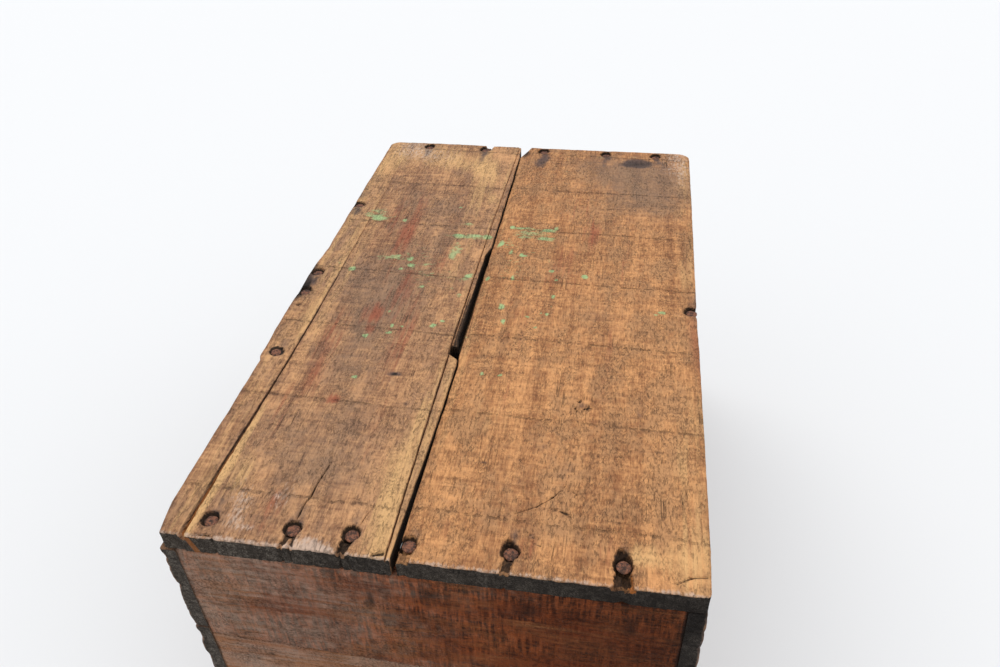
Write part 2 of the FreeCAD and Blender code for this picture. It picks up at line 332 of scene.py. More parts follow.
def board_faces(board, ring, at, row_count):
    """Every face of a board, and the material slot of each."""
    n, m = len(board.across), len(board.along)
    grid = np.arange(n * m).reshape(n, m)
    cells = np.stack([grid[:-1, :-1], grid[1:, :-1], grid[1:, 1:], grid[:-1, 1:]], -1)
    faces = cells.reshape(-1, 4).tolist()
    slots = [FACE_SLOT] * len(faces)
    rim = grid[at]
    levels = [2 * n * m + row * len(ring) + np.arange(len(ring)) for row in range(row_count)]
    levels = [rim] + levels + [n * m + rim]
    ends = np.array([side in ("near", "far") for _, _, side in ring])
    for upper, lower in zip(levels[:-1], levels[1:]):
        wall = np.stack([upper, lower, np.roll(lower, -1), np.roll(upper, -1)], -1)
        faces += wall.tolist()
        slots += np.where(ends, END_SLOT, FACE_SLOT).tolist()
    columns, stations = thinned(board.across, board.ring_step), thinned(board.along, board.ring_step)
    for cell in inner_cells(n, m, columns, stations):
        faces.append([n * m + v for v in cell])
        slots.append(INNER_SLOT)
    return faces, slots


def paint_marks(mesh, board, points):
    """Gives every vertex its place on the board and its marks, for the shaders."""
    spot = mesh.attributes.new("place", "FLOAT_VECTOR", "POINT")
    offset = np.array([board.seed * 0.37, board.seed * 0.83, board.seed * 0.11])
    spot.data.foreach_set("vector", (points * MM + offset).ravel())
    values = board.marks(points[:, 0], points[:, 1], points[:, 2])
    for mark in MARKS:
        value = np.broadcast_to(values.get(mark, 0.0), len(points)).astype(np.float32)
        mesh.attributes.new(mark, "FLOAT", "POINT").data.foreach_set("value", value)


def saw_board(board, name, place, materials):
    """Makes a board's mesh at its place: origin, across, along and outward directions."""
    origin, *ways = place
    a, l = board.bend(*np.meshgrid(board.across, board.along, indexing="ij"))
    h = board.face(a, l)
    deep = -board.thickness + 0 * h
    edges = np.minimum(a - board.low_edge(l), board.high_edge(l) - a)
    back_height = deep - worn_edge(edges, 0.8) + 0.15 * lumps(a, l, 20.0, 60.0, board.seed + 8)
    face = np.stack([a + board.lean(a, l, h), l, h], -1)
    back = np.stack([a + board.lean(a, l, deep), l, np.maximum(back_height, deep)], -1)
    ring = boundary(*h.shape)
    at = tuple(np.array([step[axis] for step in ring]) for axis in (0, 1))
    rows = edge_rows(board, face, back, ring, at)
    points = np.concatenate([face.reshape(-1, 3), back.reshape(-1, 3)] + rows)
    faces, slots = board_faces(board, ring, at, len(rows))

    used = np.zeros(len(points), bool)
    used[np.concatenate(faces)] = True
    points = points[used]
    renumber = np.cumsum(used) - 1
    faces = [renumber[corners].tolist() for corners in faces]
    ways = np.array(ways, float)
    if np.linalg.det(ways) < 0:
        faces = [corners[::-1] for corners in faces]
    mesh = bpy.data.meshes.new(name)
    mesh.from_pydata((np.array(origin) + points @ ways * MM).tolist(), [], faces)
    mesh.polygons.foreach_set("material_index", slots)
    for material in materials:
        mesh.materials.append(material)
    mesh.polygons.foreach_set("use_smooth", [True] * len(mesh.polygons))
    mesh.set_sharp_from_angle(angle=math.radians(48))
    paint_marks(mesh, board, points)
    mesh.validate()
    thing = bpy.data.objects.new(name, mesh)
    bpy.context.scene.collection.objects.link(thing)
    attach(thing, ROOT)
    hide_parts(board.node)


# ---------------------------------------------------------------- the bottom boards

BOTTOM_THICKNESS = (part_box("bottom_board_left")[1].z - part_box("bottom_board_left")[0].z) / MM
NEAR_NAIL_INSET = 13.0
FAR_NAIL_ROW = crate_length - 8.0
SAW_LINES = [(-60.0, -1.0), (35.0, 0.0), (115.0, 1.0), (193.0, 2.0), (265.0, 3.0), (340.0, 4.0)]
SAW_LINES += [(412.0, 5.0), (486.0, 6.0), (560.0, 7.0)]


def nail_detail(nails, axis, pitch=0.55):
    """Close grid lines round each nail, across (axis 0) or along (axis 1)."""
    return [(nail[axis], 6.0, pitch) for nail in nails]


def tail_stains(a, l, nails, length, seed):
    """Iron stain round each nail, drawn out along the grain."""
    total = 0 * a
    for i, (across, along) in enumerate(nails):
        total = np.maximum(total, 0.9 * blot(a, l, across, along, 6.0, 7.5, seed + i))
        far = along > crate_length / 2
        towards, strength = (-1, 0.95) if far else (1, 0.6)
        tail = blot(a, l, across + 1, along + towards * length, 4.5, length, seed + 20 + i)
        total = np.maximum(total, strength * tail)
    return total


def socket_shadows(a, l, nails, seed):
    """Painted shadow round each sunken head: a faint dark ring all round, darkest towards higher along and
    lower across (the far-left side on the bottom), where the socket wall shades the hole.
    """
    total = 0 * a
    for i, (across, along) in enumerate(nails):
        ragged = 0.9 * lumps(a, l, 1.8, 2.2, seed + i, 3)
        distance = np.hypot(a - across, l - along)
        farther = (0.83 * (l - along) - 0.55 * (a - across)) / np.maximum(distance, 0.1)
        # packed: how strong the painted shadow is, faint on the near side and strongest on the far-left side,
        # away from the light.
        packed = 0.12 + 0.88 * ease(-0.4, 0.6, farther)
        ring = ease(2.7, 3.9, distance + ragged) * ease(6.3, 5.0, distance + ragged)
        # hood: a painted shadow over the far-left part of the hole.
        hood = np.hypot(a - across + 2.0, l - along - 2.8) + ragged
        total = np.maximum(total, np.maximum(packed * ring, 0.85 * ease(3.6, 2.0, hood)))
    return total


class BottomBoard(Board):
    """A board of the bottom. Its soft spots are lists, and its places are across and along."""

    def strong_spots(self, a, l, nails):
        """The marks of which the strongest shows: stain, red wood and old paint."""
        stain = tail_stains(a, l, nails, self.tail_length, 100 * self.seed)
        paint = strongest(a, l, self.flecks, range(0, 3 * len(self.flecks), 3))
        return {
            "stain": np.maximum(stain, strongest(a, l, self.stains, [int(spot[1]) for spot in self.stains])),
            "red": strongest(a, l, self.reds, [int(spot[0]) for spot in self.reds]),
            "green": np.maximum(paint, 0.33 * blot(a, l, *self.thin_paint)),
        }

    def marks(self, a, l, h):
        nails = self.nails + self.edge_nails
        marks = self.strong_spots(a, l, nails)
        marks["pale"] = self.pale_wood(a, l) + added(a, l, self.pales)
        marks["lip"] = self.lip_strength * ease(5.0, 0.4, l) + added(a, l, self.lips)
        top = ease(-3.0, -1.2, h)
        marks = {name: mark * top for name, mark in marks.items()}
        marks["tone"] = np.clip(added(a, l, self.tones), 0, 1)
        # Painted shadow in the nail sockets, to which broken_wood adds soiling and more painted shade.
        dirt_and_shade = socket_shadows(a, l, nails, 300 + 100 * self.seed)
        marks["bare"], marks["grime_and_shade"] = self.broken_wood(a, l, h, dirt_and_shade)
        marks["saw"] = follow(SAW_LINES, l + self.saw_slant * (a - self.saw_middle))
        return marks

    def end_inset(self, a, l):
        return np.minimum(l - self.near_end(a), self.far_end(a) - l)


class LeftBottomBoard(BottomBoard):
    """The narrower bottom board, split along its outer side and splintered along its inner."""

    nails = [(30.0, 13.0), (78.0, 13.0), (111.0, 14.0), (45.0, FAR_NAIL_ROW), (102.0, FAR_NAIL_ROW)]
    edge_nails = [(8.0, 368.0), (7.0, 258.0), (6.0, 232.0), (12.0, 158.0)]
    # Paths are (along, across) points, or (along, width or depth).
    outer_edge = [(0, 5.5), (22, 2.2), (60, 2.5), (148, 3.6), (153, 1.6), (200, 1.0), (265, 1.2)]
    outer_edge += [(295, 3.4), (400, 3.2), (500, 3.5)]
    inner_edge = [(0, 135.3), (50, 136.6), (100, 138.3), (160, 139.2), (168, 138.4), (190, 134.6)]
    inner_edge += [(300, 135.2), (312, 138.2), (478, 138.2), (500, 137.0)]
    split_middle = 22.0
    split = [(0, 18.3), (50, 19.6), (100, 21.8), (150, 23.6), (200, 24.6), (280, 25.0), (500, 25.2)]
    split_width = [(0, 2.9), (50, 2.0), (100, 1.5), (150, 1.1), (200, 0.8), (280, 0.5), (350, 0.4)]
    split_depth = [(0, 3.4), (60, 2.4), (120, 1.9), (200, 1.4), (300, 1.0), (400, 0.5), (460, 0.0)]
    shake_middle = 132.5
    shake = [(0, 133.0), (60, 132.2), (168, 131.8), (182, 131.0), (300, 132.0), (350, 132.6)]
    shake += [(400, 133.6), (450, 134.6), (500, 135.2)]
    shake_depth = [(0, 2.4), (165, 2.0), (190, 1.8), (310, 1.4), (500, 0.8)]
    lowered = [(0, 0.2), (60, 0.1), (165, 0.0), (184, 2.6), (215, 1.6), (250, 0.5), (500, 0.2)]
    kinked_crack = [(17, 78.0), (30, 78.2), (36, 80.2), (46, 80.6), (64, 83.5)]
    side_crack = [(17, 113.0), (26, 115.0), (36, 118.5)]
    corner_radius = 10.0
    notch_depth = 12.6
    split_lean = 4.5  # how far the split runs inwards through the board
    end_nicks = [(74.5, 1.6), (79.5, 1.2), (107.5, 2.0), (113.0, 0.8), (36.0, 1.3), (92.0, 0.6)]
    # (start, end, widths, depth, seed, raggedness) of each chip
    chips = [
        ((77, 9), (74.8, -2), (4, 3), 1.9, 23, 1.3), ((80, 9), (80.5, -2), (2, 2.4), 1.2, 33, 1.0),
        ((110, 10), (107.5, -2), (6.5, 4.5), 2.6, 24, 1.6), ((24, 1), (34, 2.2), (2.4, 2), 1.3, 25, 0.5),
        ((126, 2), (131, 4), (2, 2.6), 1.0, 26, 0.5),
        ((104, crate_length - 6), (106, crate_length + 2), (7, 7), 3.0, 27, 0.8),
    ]
    # (across, along, half width, half length, strength) of each spot
    stains = [
        (2, 240, 8, 26, 1.0), (6, 385, 7, 14, 0.7), (100, 145, 5, 3.5, 0.95), (114, 118, 3, 4, 0.7),
        (92, 148, 5, 3, 0.35), (60, 157, 9, 10, 0.35), (72, 62, 5, 4, 0.35), (102, 474, 4.5, 20, 0.85),
        (45, 476, 4, 15, 0.8), (13, 460, 1.5, 2, 0.8), (118, 250, 12, 26, 0.25), (112, 372, 10, 12, 0.3),
        (75, 372, 22, 16, 0.35),
    ]
    reds = [
        (64, 330, 9, 60, 0.75), (80, 250, 10, 60, 0.6), (68, 210, 9, 14, 1.0), (66, 116, 7, 4.5, 1.0),
        (45, 160, 9, 55, 0.6), (36, 105, 7, 30, 0.5), (95, 190, 8, 50, 0.55), (62, 26, 8, 14, 0.5),
        (100, 95, 9, 45, 0.35), (45, 350, 14, 40, 0.45), (69, 190, 5, 8, 1.0), (100, 270, 7, 34, 0.6),
        (64, 12, 20, 9, 0.4),
    ]
    flecks = [
        (31, 346, 9, 6, 0.85), (30, 358, 10, 7, 0.5), (45, 350, 12, 5, 0.4), (56, 345, 3, 3.5, 0.75),
        (108, 325, 7, 2.6, 1.0), (121, 326, 9, 3, 0.85), (131, 325, 6, 4, 0.8), (112, 345, 8, 6, 0.55),
        (109, 297, 5, 10, 0.6), (64, 288, 6, 5, 0.65), (76, 285, 3.5, 3, 0.95), (79, 275, 4, 4, 0.8),
        (90, 278, 5, 4.5, 0.6), (21, 270, 5, 7, 0.45), (33, 266, 4, 3, 1.0), (128, 267, 4, 4, 0.85),
        (94, 248, 2, 3, 0.8), (74, 292, 5, 3, 0.6), (84, 197, 1.8, 2.5, 0.85), (92, 197, 2, 2, 0.9),
        (114, 201, 3, 2.2, 1.0), (119, 207, 2, 2, 0.85), (84, 189, 2.5, 2.2, 0.95), (68, 183, 2.8, 2.4, 1.0),
        (74, 139, 2, 2.2, 0.9), (78, 213, 1.5, 2, 0.7), (125, 240, 3, 5, 0.55), (118, 250, 4, 6, 0.4),
        (100, 372, 2.5, 1.6, 0.7), (24, 350, 8, 6, 0.6), (46, 44, 9, 1.6, 0.35), (72, 270, 2, 2, 0.8),
        (118, 324, 20, 5, 0.58), (60, 286, 24, 9, 0.5), (108, 302, 9, 14, 0.54), (124, 262, 12, 7, 0.5),
    ]
    # (strength, across, along, half width, half length, seed) of each spot
    pales = [
        (0.5, 126, 390, 5, 10, 3), (0.7, 62, 466, 50, 36, 4), (0.6, 112, 430, 14, 60, 5),
        (0.65, 34, 44, 10, 22, 25), (0.5, 30, 270, 8, 150, 18), (0.45, 116, 300, 11, 80, 19),
        (0.35, 112, 60, 12, 40, 6),
    ]
    tones = [
        (0.75, 72, 235, 42, 95, 7), (0.55, 66, 60, 45, 50, 8), (0.3, 62, 385, 45, 45, 9),
        (0.35, 10, 320, 10, 60, 10),
    ]
    lips = [
        (0.8, 90, 5, 13, 5, 11), (0.5, 42, 22, 9, 12, 12), (0.5, 64, 34, 7, 15, 13),
        (0.5, 50, 10, 8, 5, 22), (0.6, 40, 480, 45, 40, 24), (0.35, 36, 40, 9, 16, 25),
    ]
    torn_edge = [(1.0, 3, 233, 5, 9, 28), (0.6, 2.5, 262, 3.2, 7, 29)]
    edge_dirt = [(1.0, 2.5, 233, 6, 14, 15), (0.75, 1.5, 262, 4, 12, 16), (0.9, 7, 214, 1.6, 2, 17)]
    lip_strength = 0.68
    thin_paint = (88, 272, 48, 70, 14)
    tail_length = 11.0
    saw_slant = 0.02
    saw_middle = 60.0

    def __init__(self, node, seed, thickness):
        super().__init__(node, seed, thickness)
        across = [(3.5, 3.0, 0.4), (self.split_middle, 2.5, 0.3), (self.shake_middle, 6.0, 0.45)]
        self.across = graded(3.5, 137.0, 1.6, across + nail_detail(self.nails, 0))
        ends = [(0.0, 4.0, 0.4), (crate_length, 4.0, 0.5), (NEAR_NAIL_INSET, 6.0, 0.55)]
        others = [(FAR_NAIL_ROW, 6.0, 0.7), (175.0, 10.0, 0.6), (150.0, 3.0, 0.8)]
        others += [(nail[1], 5.0, 0.8) for nail in self.edge_nails]
        self.along = graded(0.0, crate_length, 1.5, ends + others)

    def low_edge(self, l):
        return follow(self.outer_edge, l) + 0.35 * lumps(l, 0 * l, 14.0, 1.0, 3, 2)

    def high_edge(self, l):
        return follow(self.inner_edge, l) + 0.3 * lumps(l, 0 * l, 9.0, 1.0, 4, 3)

    def near_end(self, a):
        end = super().near_end(a)
        for place, nick in self.end_nicks:
            end = end + nick * pull(a, place, 0.8 + 0.3 * nick)
        return end + 0.6 * ease(18.5, 17.5, a)

    def far_end(self, a):
        corner = np.clip(a - self.across[0], 0, self.corner_radius)
        end = super().far_end(a) + worn_edge(corner, self.corner_radius)
        end = end - 1.2 * pull(a, 107.0, 1.5)
        return end + worn_edge(np.clip(self.across[-1] - a, 0, 3.0), 3.0)

    def bend(self, A, L):
        """Bends two grid lines along the split and the shake as well."""
        a, l = super().bend(A, L)
        a = a + (follow(self.split, L) - self.split_middle) * pull(A, self.split_middle, self.edge_reach)
        moved = self.high_edge(L) - self.across[-1]
        moved = moved * pull(self.shake_middle, self.across[-1], self.edge_reach)
        return a + (follow(self.shake, L) - self.shake_middle - moved) * pull(A, self.shake_middle, 4.4), l

    def split_share(self, a, l):
        """1 in the middle of the split, 0 outside it."""
        half = follow(self.split_width, l) / 2 + 0.12
        wander = 0.3 * lumps(l, 0 * l, 9.0, 1.0, 6, 2)
        return np.clip(1 - np.abs(a - follow(self.split, l) - wander) / half, 0, 1)

    def extra(self, a, l):
        h = np.minimum(-follow(self.split_depth, l) * self.split_share(a, l) ** 0.65, 0)
        off = np.abs(a - follow(self.shake, l) - 0.2 * lumps(l, 0 * l, 7.0, 1.0, 8, 2))
        h = h - follow(self.shake_depth, l) * np.clip(1 - off / 0.55, 0, 1) ** 0.7
        h = h - ease(0.0, 1.2, a - follow(self.shake, l)) * follow(self.lowered, l)
        missing = np.minimum(a - 130.6, 181.8 - l)
        missing = np.minimum(missing, l - 172.0 + 0.8 * (a - 131.0))
        missing = missing + 0.4 * lumps(a, l, 2.0, 2.5, 12, 2)
        h = h - self.notch_depth * ease(-0.1, 0.7, missing)
        h = h + crack(a, l, self.kinked_crack, 1.0, 2.2, 21) + crack(a, l, self.side_crack, 0.9, 1.2, 22)
        for chip in self.chips:
            h = h + trough(a, l, *chip)
        torn = 1 + 0.6 * lumps(a, l, 2.2, 3.6, 28, 2)
        h = h - torn * added(a, l, self.torn_edge) - added(a, l, [(1.8, 7, 214, 1.2, 1.5, 30)])
        kept = ease(0.2, 1.3, a - self.low_edge(l))
        for i, nail in enumerate(self.edge_nails[:3]):
            h = h + kept * socket(a, l, nail, HEAD_SINK, 60 + i)
        leaning = self.edge_nails[3]
        return h - 1.3 * ease(4.9, 4.2, np.hypot((a - leaning[0]) * 0.9, l - leaning[1]))

    def lean(self, a, l, h):
        return self.split_lean * np.clip(-h / self.thickness, 0, 1) * pull(a, 20.5, 7.5) * ease(90, 20, l)

    def pale_wood(self, a, l):
        beside_split = a - follow(self.split, l)
        from_edge = a - self.low_edge(l)
        pale = 1.0 * ease(0.6, 1.4, beside_split) * ease(9.0, 2.0, beside_split) * ease(135, 70, l)
        pale = pale + 0.4 * ease(-0.4, -1.6, beside_split) * ease(0.0, 4.0, from_edge)
        pale = pale + 0.25 * ease(9.0, 2.0, from_edge) * ease(200, 300, l)
        before_shake = follow(self.shake, l) - a
        reach = follow([(0, 20), (40, 22), (100, 15), (165, 8), (400, 5), (500, 9)], l)
        strength = follow([(0, 0.75), (110, 0.7), (180, 0.4), (300, 0.3), (500, 0.45)], l)
        pale = pale + strength * ease(reach, reach * 0.3, before_shake) * ease(0, 1, before_shake)
        return pale + 0.55 * ease(0.2, 1.0, -before_shake) * ease(200, 165, l)

    def broken_wood(self, a, l, h, dirt_and_shade):
        """Fresh wood in the split, and a darkening mask of real soiling and painted shade in hollows and
        gaps.
        """
        beside_split = a - follow(self.split, l)
        off_shake = np.abs(follow(self.shake, l) - a)
        inside = np.minimum(a - self.low_edge(l), self.high_edge(l) - a)
        bare = self.split_share(a, l) * ease(260, 120, l)
        bare = np.maximum(bare, 0.6 * ease(0.7, 0.2, off_shake))
        # Painted shade down the wall beside the other board.
        gap_shade = ease(-3.5, 0.0, a - self.high_edge(l)) * ease(-0.7, -2.2, h)
        # Painted shade in the missing piece cut out of the inner edge.
        notch_shade = ease(129.0, 131.0, a) * ease(170.0, 172.0, l) * ease(183.5, 181.5, l) * ease(-1.0, -3.0, h)
        # Painted shade in the shake.
        shake_shade = 0.75 * ease(0.9, 0.2, off_shake) * ease(-0.8, -1.6, h)
        # Painted shade down the left wall of the split, which faces away from the light; it also hides the
        # fresh wood there.
        split_left_shade = 0.75 * ease(0.7, 0.15, np.abs(beside_split + 0.42 * follow(self.split_width, l)))
        split_left_shade = split_left_shade * ease(330, 200, l) * (0.45 + 0.55 * ease(10, 60, l))
        # Painted shade in deep cracks and hollows.
        cracks = ease(-0.9, -1.5, h) * (1 - bare) * ease(0.8, 1.4, off_shake) * ease(0.8, 2.0, inside)
        # Painted shade on the rounded outer edge, where the face turns down.
        outer_wall = 0.42 * ease(0.6, 0.1, a - self.low_edge(l)) * ease(-1.0, -2.0, h)
        knot = 1.0 * blot(a, l, 100.0, 145.0, 2.2, 1.6, 31)
        edge = added(a, l, self.edge_dirt)
        for part in (gap_shade, notch_shade, shake_shade, split_left_shade, edge, 0.85 * cracks, outer_wall, knot):
            dirt_and_shade = np.maximum(dirt_and_shade, part)
        end_wall = ease(2.4, 0.9, self.end_inset(a, l)) * ease(-0.9, -1.6, h)
        near_wall = end_wall * (l < 20.0)
        leaning_split = 20.5 - self.split_lean * h / self.thickness
        split_wall = near_wall * ease(3.0, 1.2, np.abs(a - leaning_split))
        bare = np.maximum(bare * (1 - near_wall), 0.6 * split_wall)
        # On the end grain the mask is replaced by a darkening that grows towards higher across, and is less
        # on the split's wall.
        dirt_and_shade = np.where(end_wall > 0.5, 0.15 + 0.35 * ease(10, 140, a) * (1 - split_wall), dirt_and_shade)
        return bare * (1 - 0.9 * split_left_shade), dirt_and_shade


class RightBottomBoard(BottomBoard):
    """The wider bottom board, with its inner edge planed down and its far corner broken off."""

    nails = [(143.5, 11.5), (198.0, 14.0), (257.0, 14.0)]
    nails += [(161.0, FAR_NAIL_ROW + 1), (222.0, FAR_NAIL_ROW), (270.0, FAR_NAIL_ROW)]
    edge_nails = [(297.5, 240.0)]
    inner_edge = [(0, 138.4), (100, 139.2), (160, 139.9), (170, 138.7), (310, 138.7), (478, 138.9)]
    inner_edge += [(500, 139.0)]
    outer_edge = [(0, 300.8), (30, 301.6), (200, 301.4), (232, 301.0), (240, 299.8), (248, 301.0)]
    outer_edge += [(400, 301.8), (500, 301.8)]
    bevel = [(0, 0.3), (60, 1.4), (170, 1.6), (300, 2.2), (440, 2.4), (480, 0.8), (500, 0.3)]
    corner_radius = 12.0
    break_length = 22.0
    break_width = 8.5
    far_reach = 60.0
    chips = [
        ((257.5, 16), (255.5, -3), (9, 8.5), 3.0, 31, 1.1), ((259, 8), (260.5, -3), (5, 6), 2.2, 32, 0.9),
        ((197.5, 9), (195.5, -3), (5, 5.5), 1.3, 33, 0.8), ((142.5, 8), (141, -3), (8, 10), 2.6, 34, 1.2),
        ((197, 17.5), (196.2, 20.5), (6.4, 4), 2.4, 38, 1.0),
        ((256.2, 17.5), (255.2, 21), (7.4, 5), 2.6, 39, 1.2),
    ]
    # (start, end, half width, depth) of each scratch
    scratches = [
        ((196, 39.5), (208, 46.5), 0.9, 0.8), ((208, 46.5), (216, 54), 0.9, 0.8),
        ((216, 54), (222, 63), 0.9, 0.7), ((203, 42), (216, 46), 0.8, 0.5),
        ((216, 46), (226, 43.5), 0.9, 0.7), ((226, 60), (229, 57.5), 0.9, 0.6),
        ((229, 57.5), (230, 63), 0.9, 0.5), ((222, 44), (227, 41.5), 1.4, 0.6),
        ((208, 22), (213, 20), 1.3, 0.7), ((284, 6.5), (291, 11), 1.0, 1.0),
        ((291, 11), (300, 12.5), 1.0, 0.9), ((205, 28), (210, 24), 1.6, 0.7),
        ((168, 76), (173, 75), 1.4, 0.7), ((200, 387), (210, 389), 1.2, 0.6),
        ((178, 260), (212, 257), 0.9, 0.45), ((216, 184), (232, 187), 0.9, 0.45),
    ]
    stains = [
        (161, 472, 7, 14, 1.1), (222, 478, 3.5, 16, 0.75), (251, 475, 14, 9, 1.5), (275, 466, 8, 12, 0.6),
        (226, 129, 6, 6, 0.6), (222, 76, 10, 6, 0.5), (206, 92, 9, 4, 0.45), (214, 104, 12, 3, 0.4),
        (250, 60, 5, 7, 0.45), (270, 96, 5, 10, 0.4), (244, 68, 4, 6, 0.5), (262, 128, 4, 6, 0.45),
        (172, 75, 4, 1.6, 0.8), (300, 250, 4, 26, 0.75), (301, 200, 3, 60, 0.45), (255, 395, 34, 22, 0.3),
        (208, 26, 4, 3, 0.6), (297, 8, 5, 14, 0.5), (160, 392, 10, 8, 0.25), (228, 240, 10, 8, 0.3),
        (288, 360, 7, 16, 0.3),
    ]
    reds = [
        (219, 345, 6, 32, 0.8), (205, 380, 22, 24, 0.45), (200, 290, 16, 40, 0.45), (178, 130, 4, 70, 0.4),
        (240, 170, 4, 60, 0.4), (298, 210, 5, 70, 0.7), (160, 24, 6, 12, 0.4), (206, 18, 7, 12, 0.45),
        (250, 25, 6, 12, 0.45), (185, 230, 24, 30, 0.35), (247, 300, 3, 60, 0.4),
    ]
    flecks = [
        (151, 343, 2.6, 3.0, 1.0), (159, 343, 9, 2.4, 0.8), (171, 342, 9, 2.4, 0.7), (182, 342, 8, 3, 0.9),
        (165, 329, 13, 4, 0.6), (182, 328, 10, 4.5, 0.8), (156, 333, 6, 5, 0.5), (145, 317, 2.6, 5, 1.0),
        (188, 345, 3, 4, 0.8), (141, 312, 3, 3, 0.6), (155, 304, 2, 4, 0.75), (165, 301, 4, 2.6, 1.05),
        (142, 266, 3.2, 2.8, 1.05), (162, 267, 2.2, 4, 0.95), (191, 281, 2.8, 2.2, 0.85),
        (217, 276, 3.2, 2.6, 1.0), (196, 268, 2.4, 2.4, 0.7), (196, 246, 1.7, 2.6, 0.9),
        (159, 229, 2.4, 5, 0.85), (163, 211, 2.2, 3.2, 0.85), (193, 224, 2.2, 1.8, 0.85),
        (189, 225, 1.6, 1.6, 0.7), (187, 207, 1.8, 1.8, 0.85), (180, 219, 1.6, 1.6, 0.75),
        (139.5, 193, 1.8, 3, 0.8), (276, 236, 3.5, 2.2, 0.8), (272, 233, 3, 1.5, 0.7),
        (158, 153, 1.7, 1.8, 0.85), (170, 153, 2, 2, 0.85), (140, 232, 1.6, 2.2, 0.8),
        (196, 233, 1.2, 1.5, 0.6), (172, 305, 5, 3, 0.45), (186, 478, 2.5, 5, 0.45),
        (187, 455, 2.5, 14, 0.35), (218, 484, 6, 3, 0.5), (180, 256, 1.2, 1.5, 0.6), (292, 372, 4, 9, 0.3),
        (188, 295, 2, 4, 0.5), (250, 488, 4, 2, 0.5), (168, 336, 22, 9, 0.55), (150, 316, 9, 12, 0.45),
    ]
    pales = [
        (0.75, 264, 20, 11, 9, 12), (0.45, 284, 22, 18, 18, 13), (0.25, 158, 55, 22, 60, 14),
        (0.3, 176, 118, 20, 30, 15), (0.3, 290, 285, 9, 22, 16), (0.2, 295, 450, 8, 45, 17),
        (0.25, 285, 90, 14, 60, 18),
    ]
    tones = [
        (0.8, 240, 455, 55, 40, 19), (0.5, 276, 432, 34, 45, 29), (0.4, 255, 385, 45, 40, 20),
        (0.2, 205, 40, 30, 40, 21), (0.25, 225, 230, 30, 40, 22),
    ]
    lips = [(0.6, 292, 480, 16, 50, 26)]
    # Dark spots: painted shade in the chipped holes above two near nails and in the chip at the near corner,
    # and a darkening on the stain near the far end.
    hollows = [
        (0.6, 142, 5, 3.6, 6, 27), (1.1, 196.2, 19, 3, 2.8, 38), (1.2, 255.4, 19.4, 3.6, 3.4, 39),
        (0.55, 250, 475, 12, 8, 0),
    ]
    lip_strength = 0.6
    thin_paint = (166, 285, 26, 75, 25)
    tail_length = 9.0
    saw_slant = 0.016
    saw_middle = 200.0

    def __init__(self, node, seed, thickness):
        super().__init__(node, seed, thickness)
        across = [(138.8, 4.0, 0.45), (302.0, 4.0, 0.5), (211.0, 15.0, 0.8)]
        self.across = graded(138.8, 302.0, 1.7, across + nail_detail(self.nails, 0, 0.6))
        ends = [(0.0, 4.0, 0.4), (crate_length, 4.0, 0.5), (NEAR_NAIL_INSET, 7.0, 0.55)]
        ends += [(FAR_NAIL_ROW, 6.0, 0.7), (240.0, 6.0, 0.8), (50.0, 13.0, 0.7), (128.0, 6.0, 0.8)]
        self.along = graded(0.0, crate_length, 1.6, ends)

    def low_edge(self, l):
        return follow(self.inner_edge, l) + 0.25 * lumps(l, 0 * l, 11.0, 1.0, 5, 3)

    def high_edge(self, l):
        return follow(self.outer_edge, l) - 0.3 * np.abs(lumps(l, 0 * l, 12.0, 1.0, 6, 3))

    def near_end(self, a):
        end = super().near_end(a)
        end = end + 1.3 * pull(a, 257.0, 4.5) + 0.8 * pull(a, 196.0, 1.2) + 0.9 * pull(a, 142.0, 4.0)
        return end - worn_edge(np.clip(self.across[-1] - a, 0, 3.0), 3.0)

    def far_end(self, a):
        end = super().far_end(a)
        end = end + worn_edge(np.clip(self.across[-1] - a, 0, self.corner_radius), self.corner_radius)
        broken = np.clip(1 - (a - self.across[0]) / self.break_width, 0, 1)
        return end - self.break_length * broken**0.8

    def extra(self, a, l):
        h = -follow(self.bevel, l) * ease(8.5, 0.0, a - self.low_edge(l))
        for chip in self.chips:
            h = h + trough(a, l, *chip)
        for start, end, width, depth in self.scratches:
            distance, _ = near_segment(a, l, start, end)
            h = h - depth * np.clip(1 - distance / width, 0, 1)
        h = h - 2.2 * blot(a, l, 226.0, 129.0, 6.0, 5.5, 35) * ease(0.1, 0.6, lumps(a, l, 2.2, 3.2, 36, 2))
        h = h - 1.6 * blot(a, l, 302.0, 240.0, 3.2, 4.0, 37)
        return h + socket(a, l, self.edge_nails[0], HEAD_SINK, 70)

    def pale_wood(self, a, l):
        inwards = a - self.low_edge(l)
        # A pale band down the bevelled inner edge: worn wood, with painted light where the bevel turns
        # towards the light.
        pale = 0.45 * ease(9.0, 3.0, inwards) * ease(60, 110, l) * ease(480, 430, l)
        return pale + 0.36 * ease(276, 300, a)

    def broken_wood(self, a, l, h, dirt_and_shade):
        """Fresh wood in the chipped corner of one nail, and a darkening mask of real soiling and painted
        shade in hollows and gaps.
        """
        chip, _ = near_segment(a, l, (259.5, 8.0), (261.5, -1.0))
        bare = 0.9 * ease(3.6, 1.5, chip) * ease(-0.6, -1.6, h) * ease(258.5, 260.0, a) * ease(-5.0, -4.0, h)
        inwards = a - self.low_edge(l)
        # Painted shade down the inner edge, below the bevel, beside the other board.
        gap_shade = ease(3.0, 0.6, inwards) * ease(-2.6, -4.0, h)
        inside = np.minimum(inwards - 8.0, self.high_edge(l) - a)
        # Painted shade in the chips, scratches and other hollows.
        broken = 0.8 * ease(-0.7, -1.2, h) * (1 - bare) * ease(0.8, 2.0, inside)
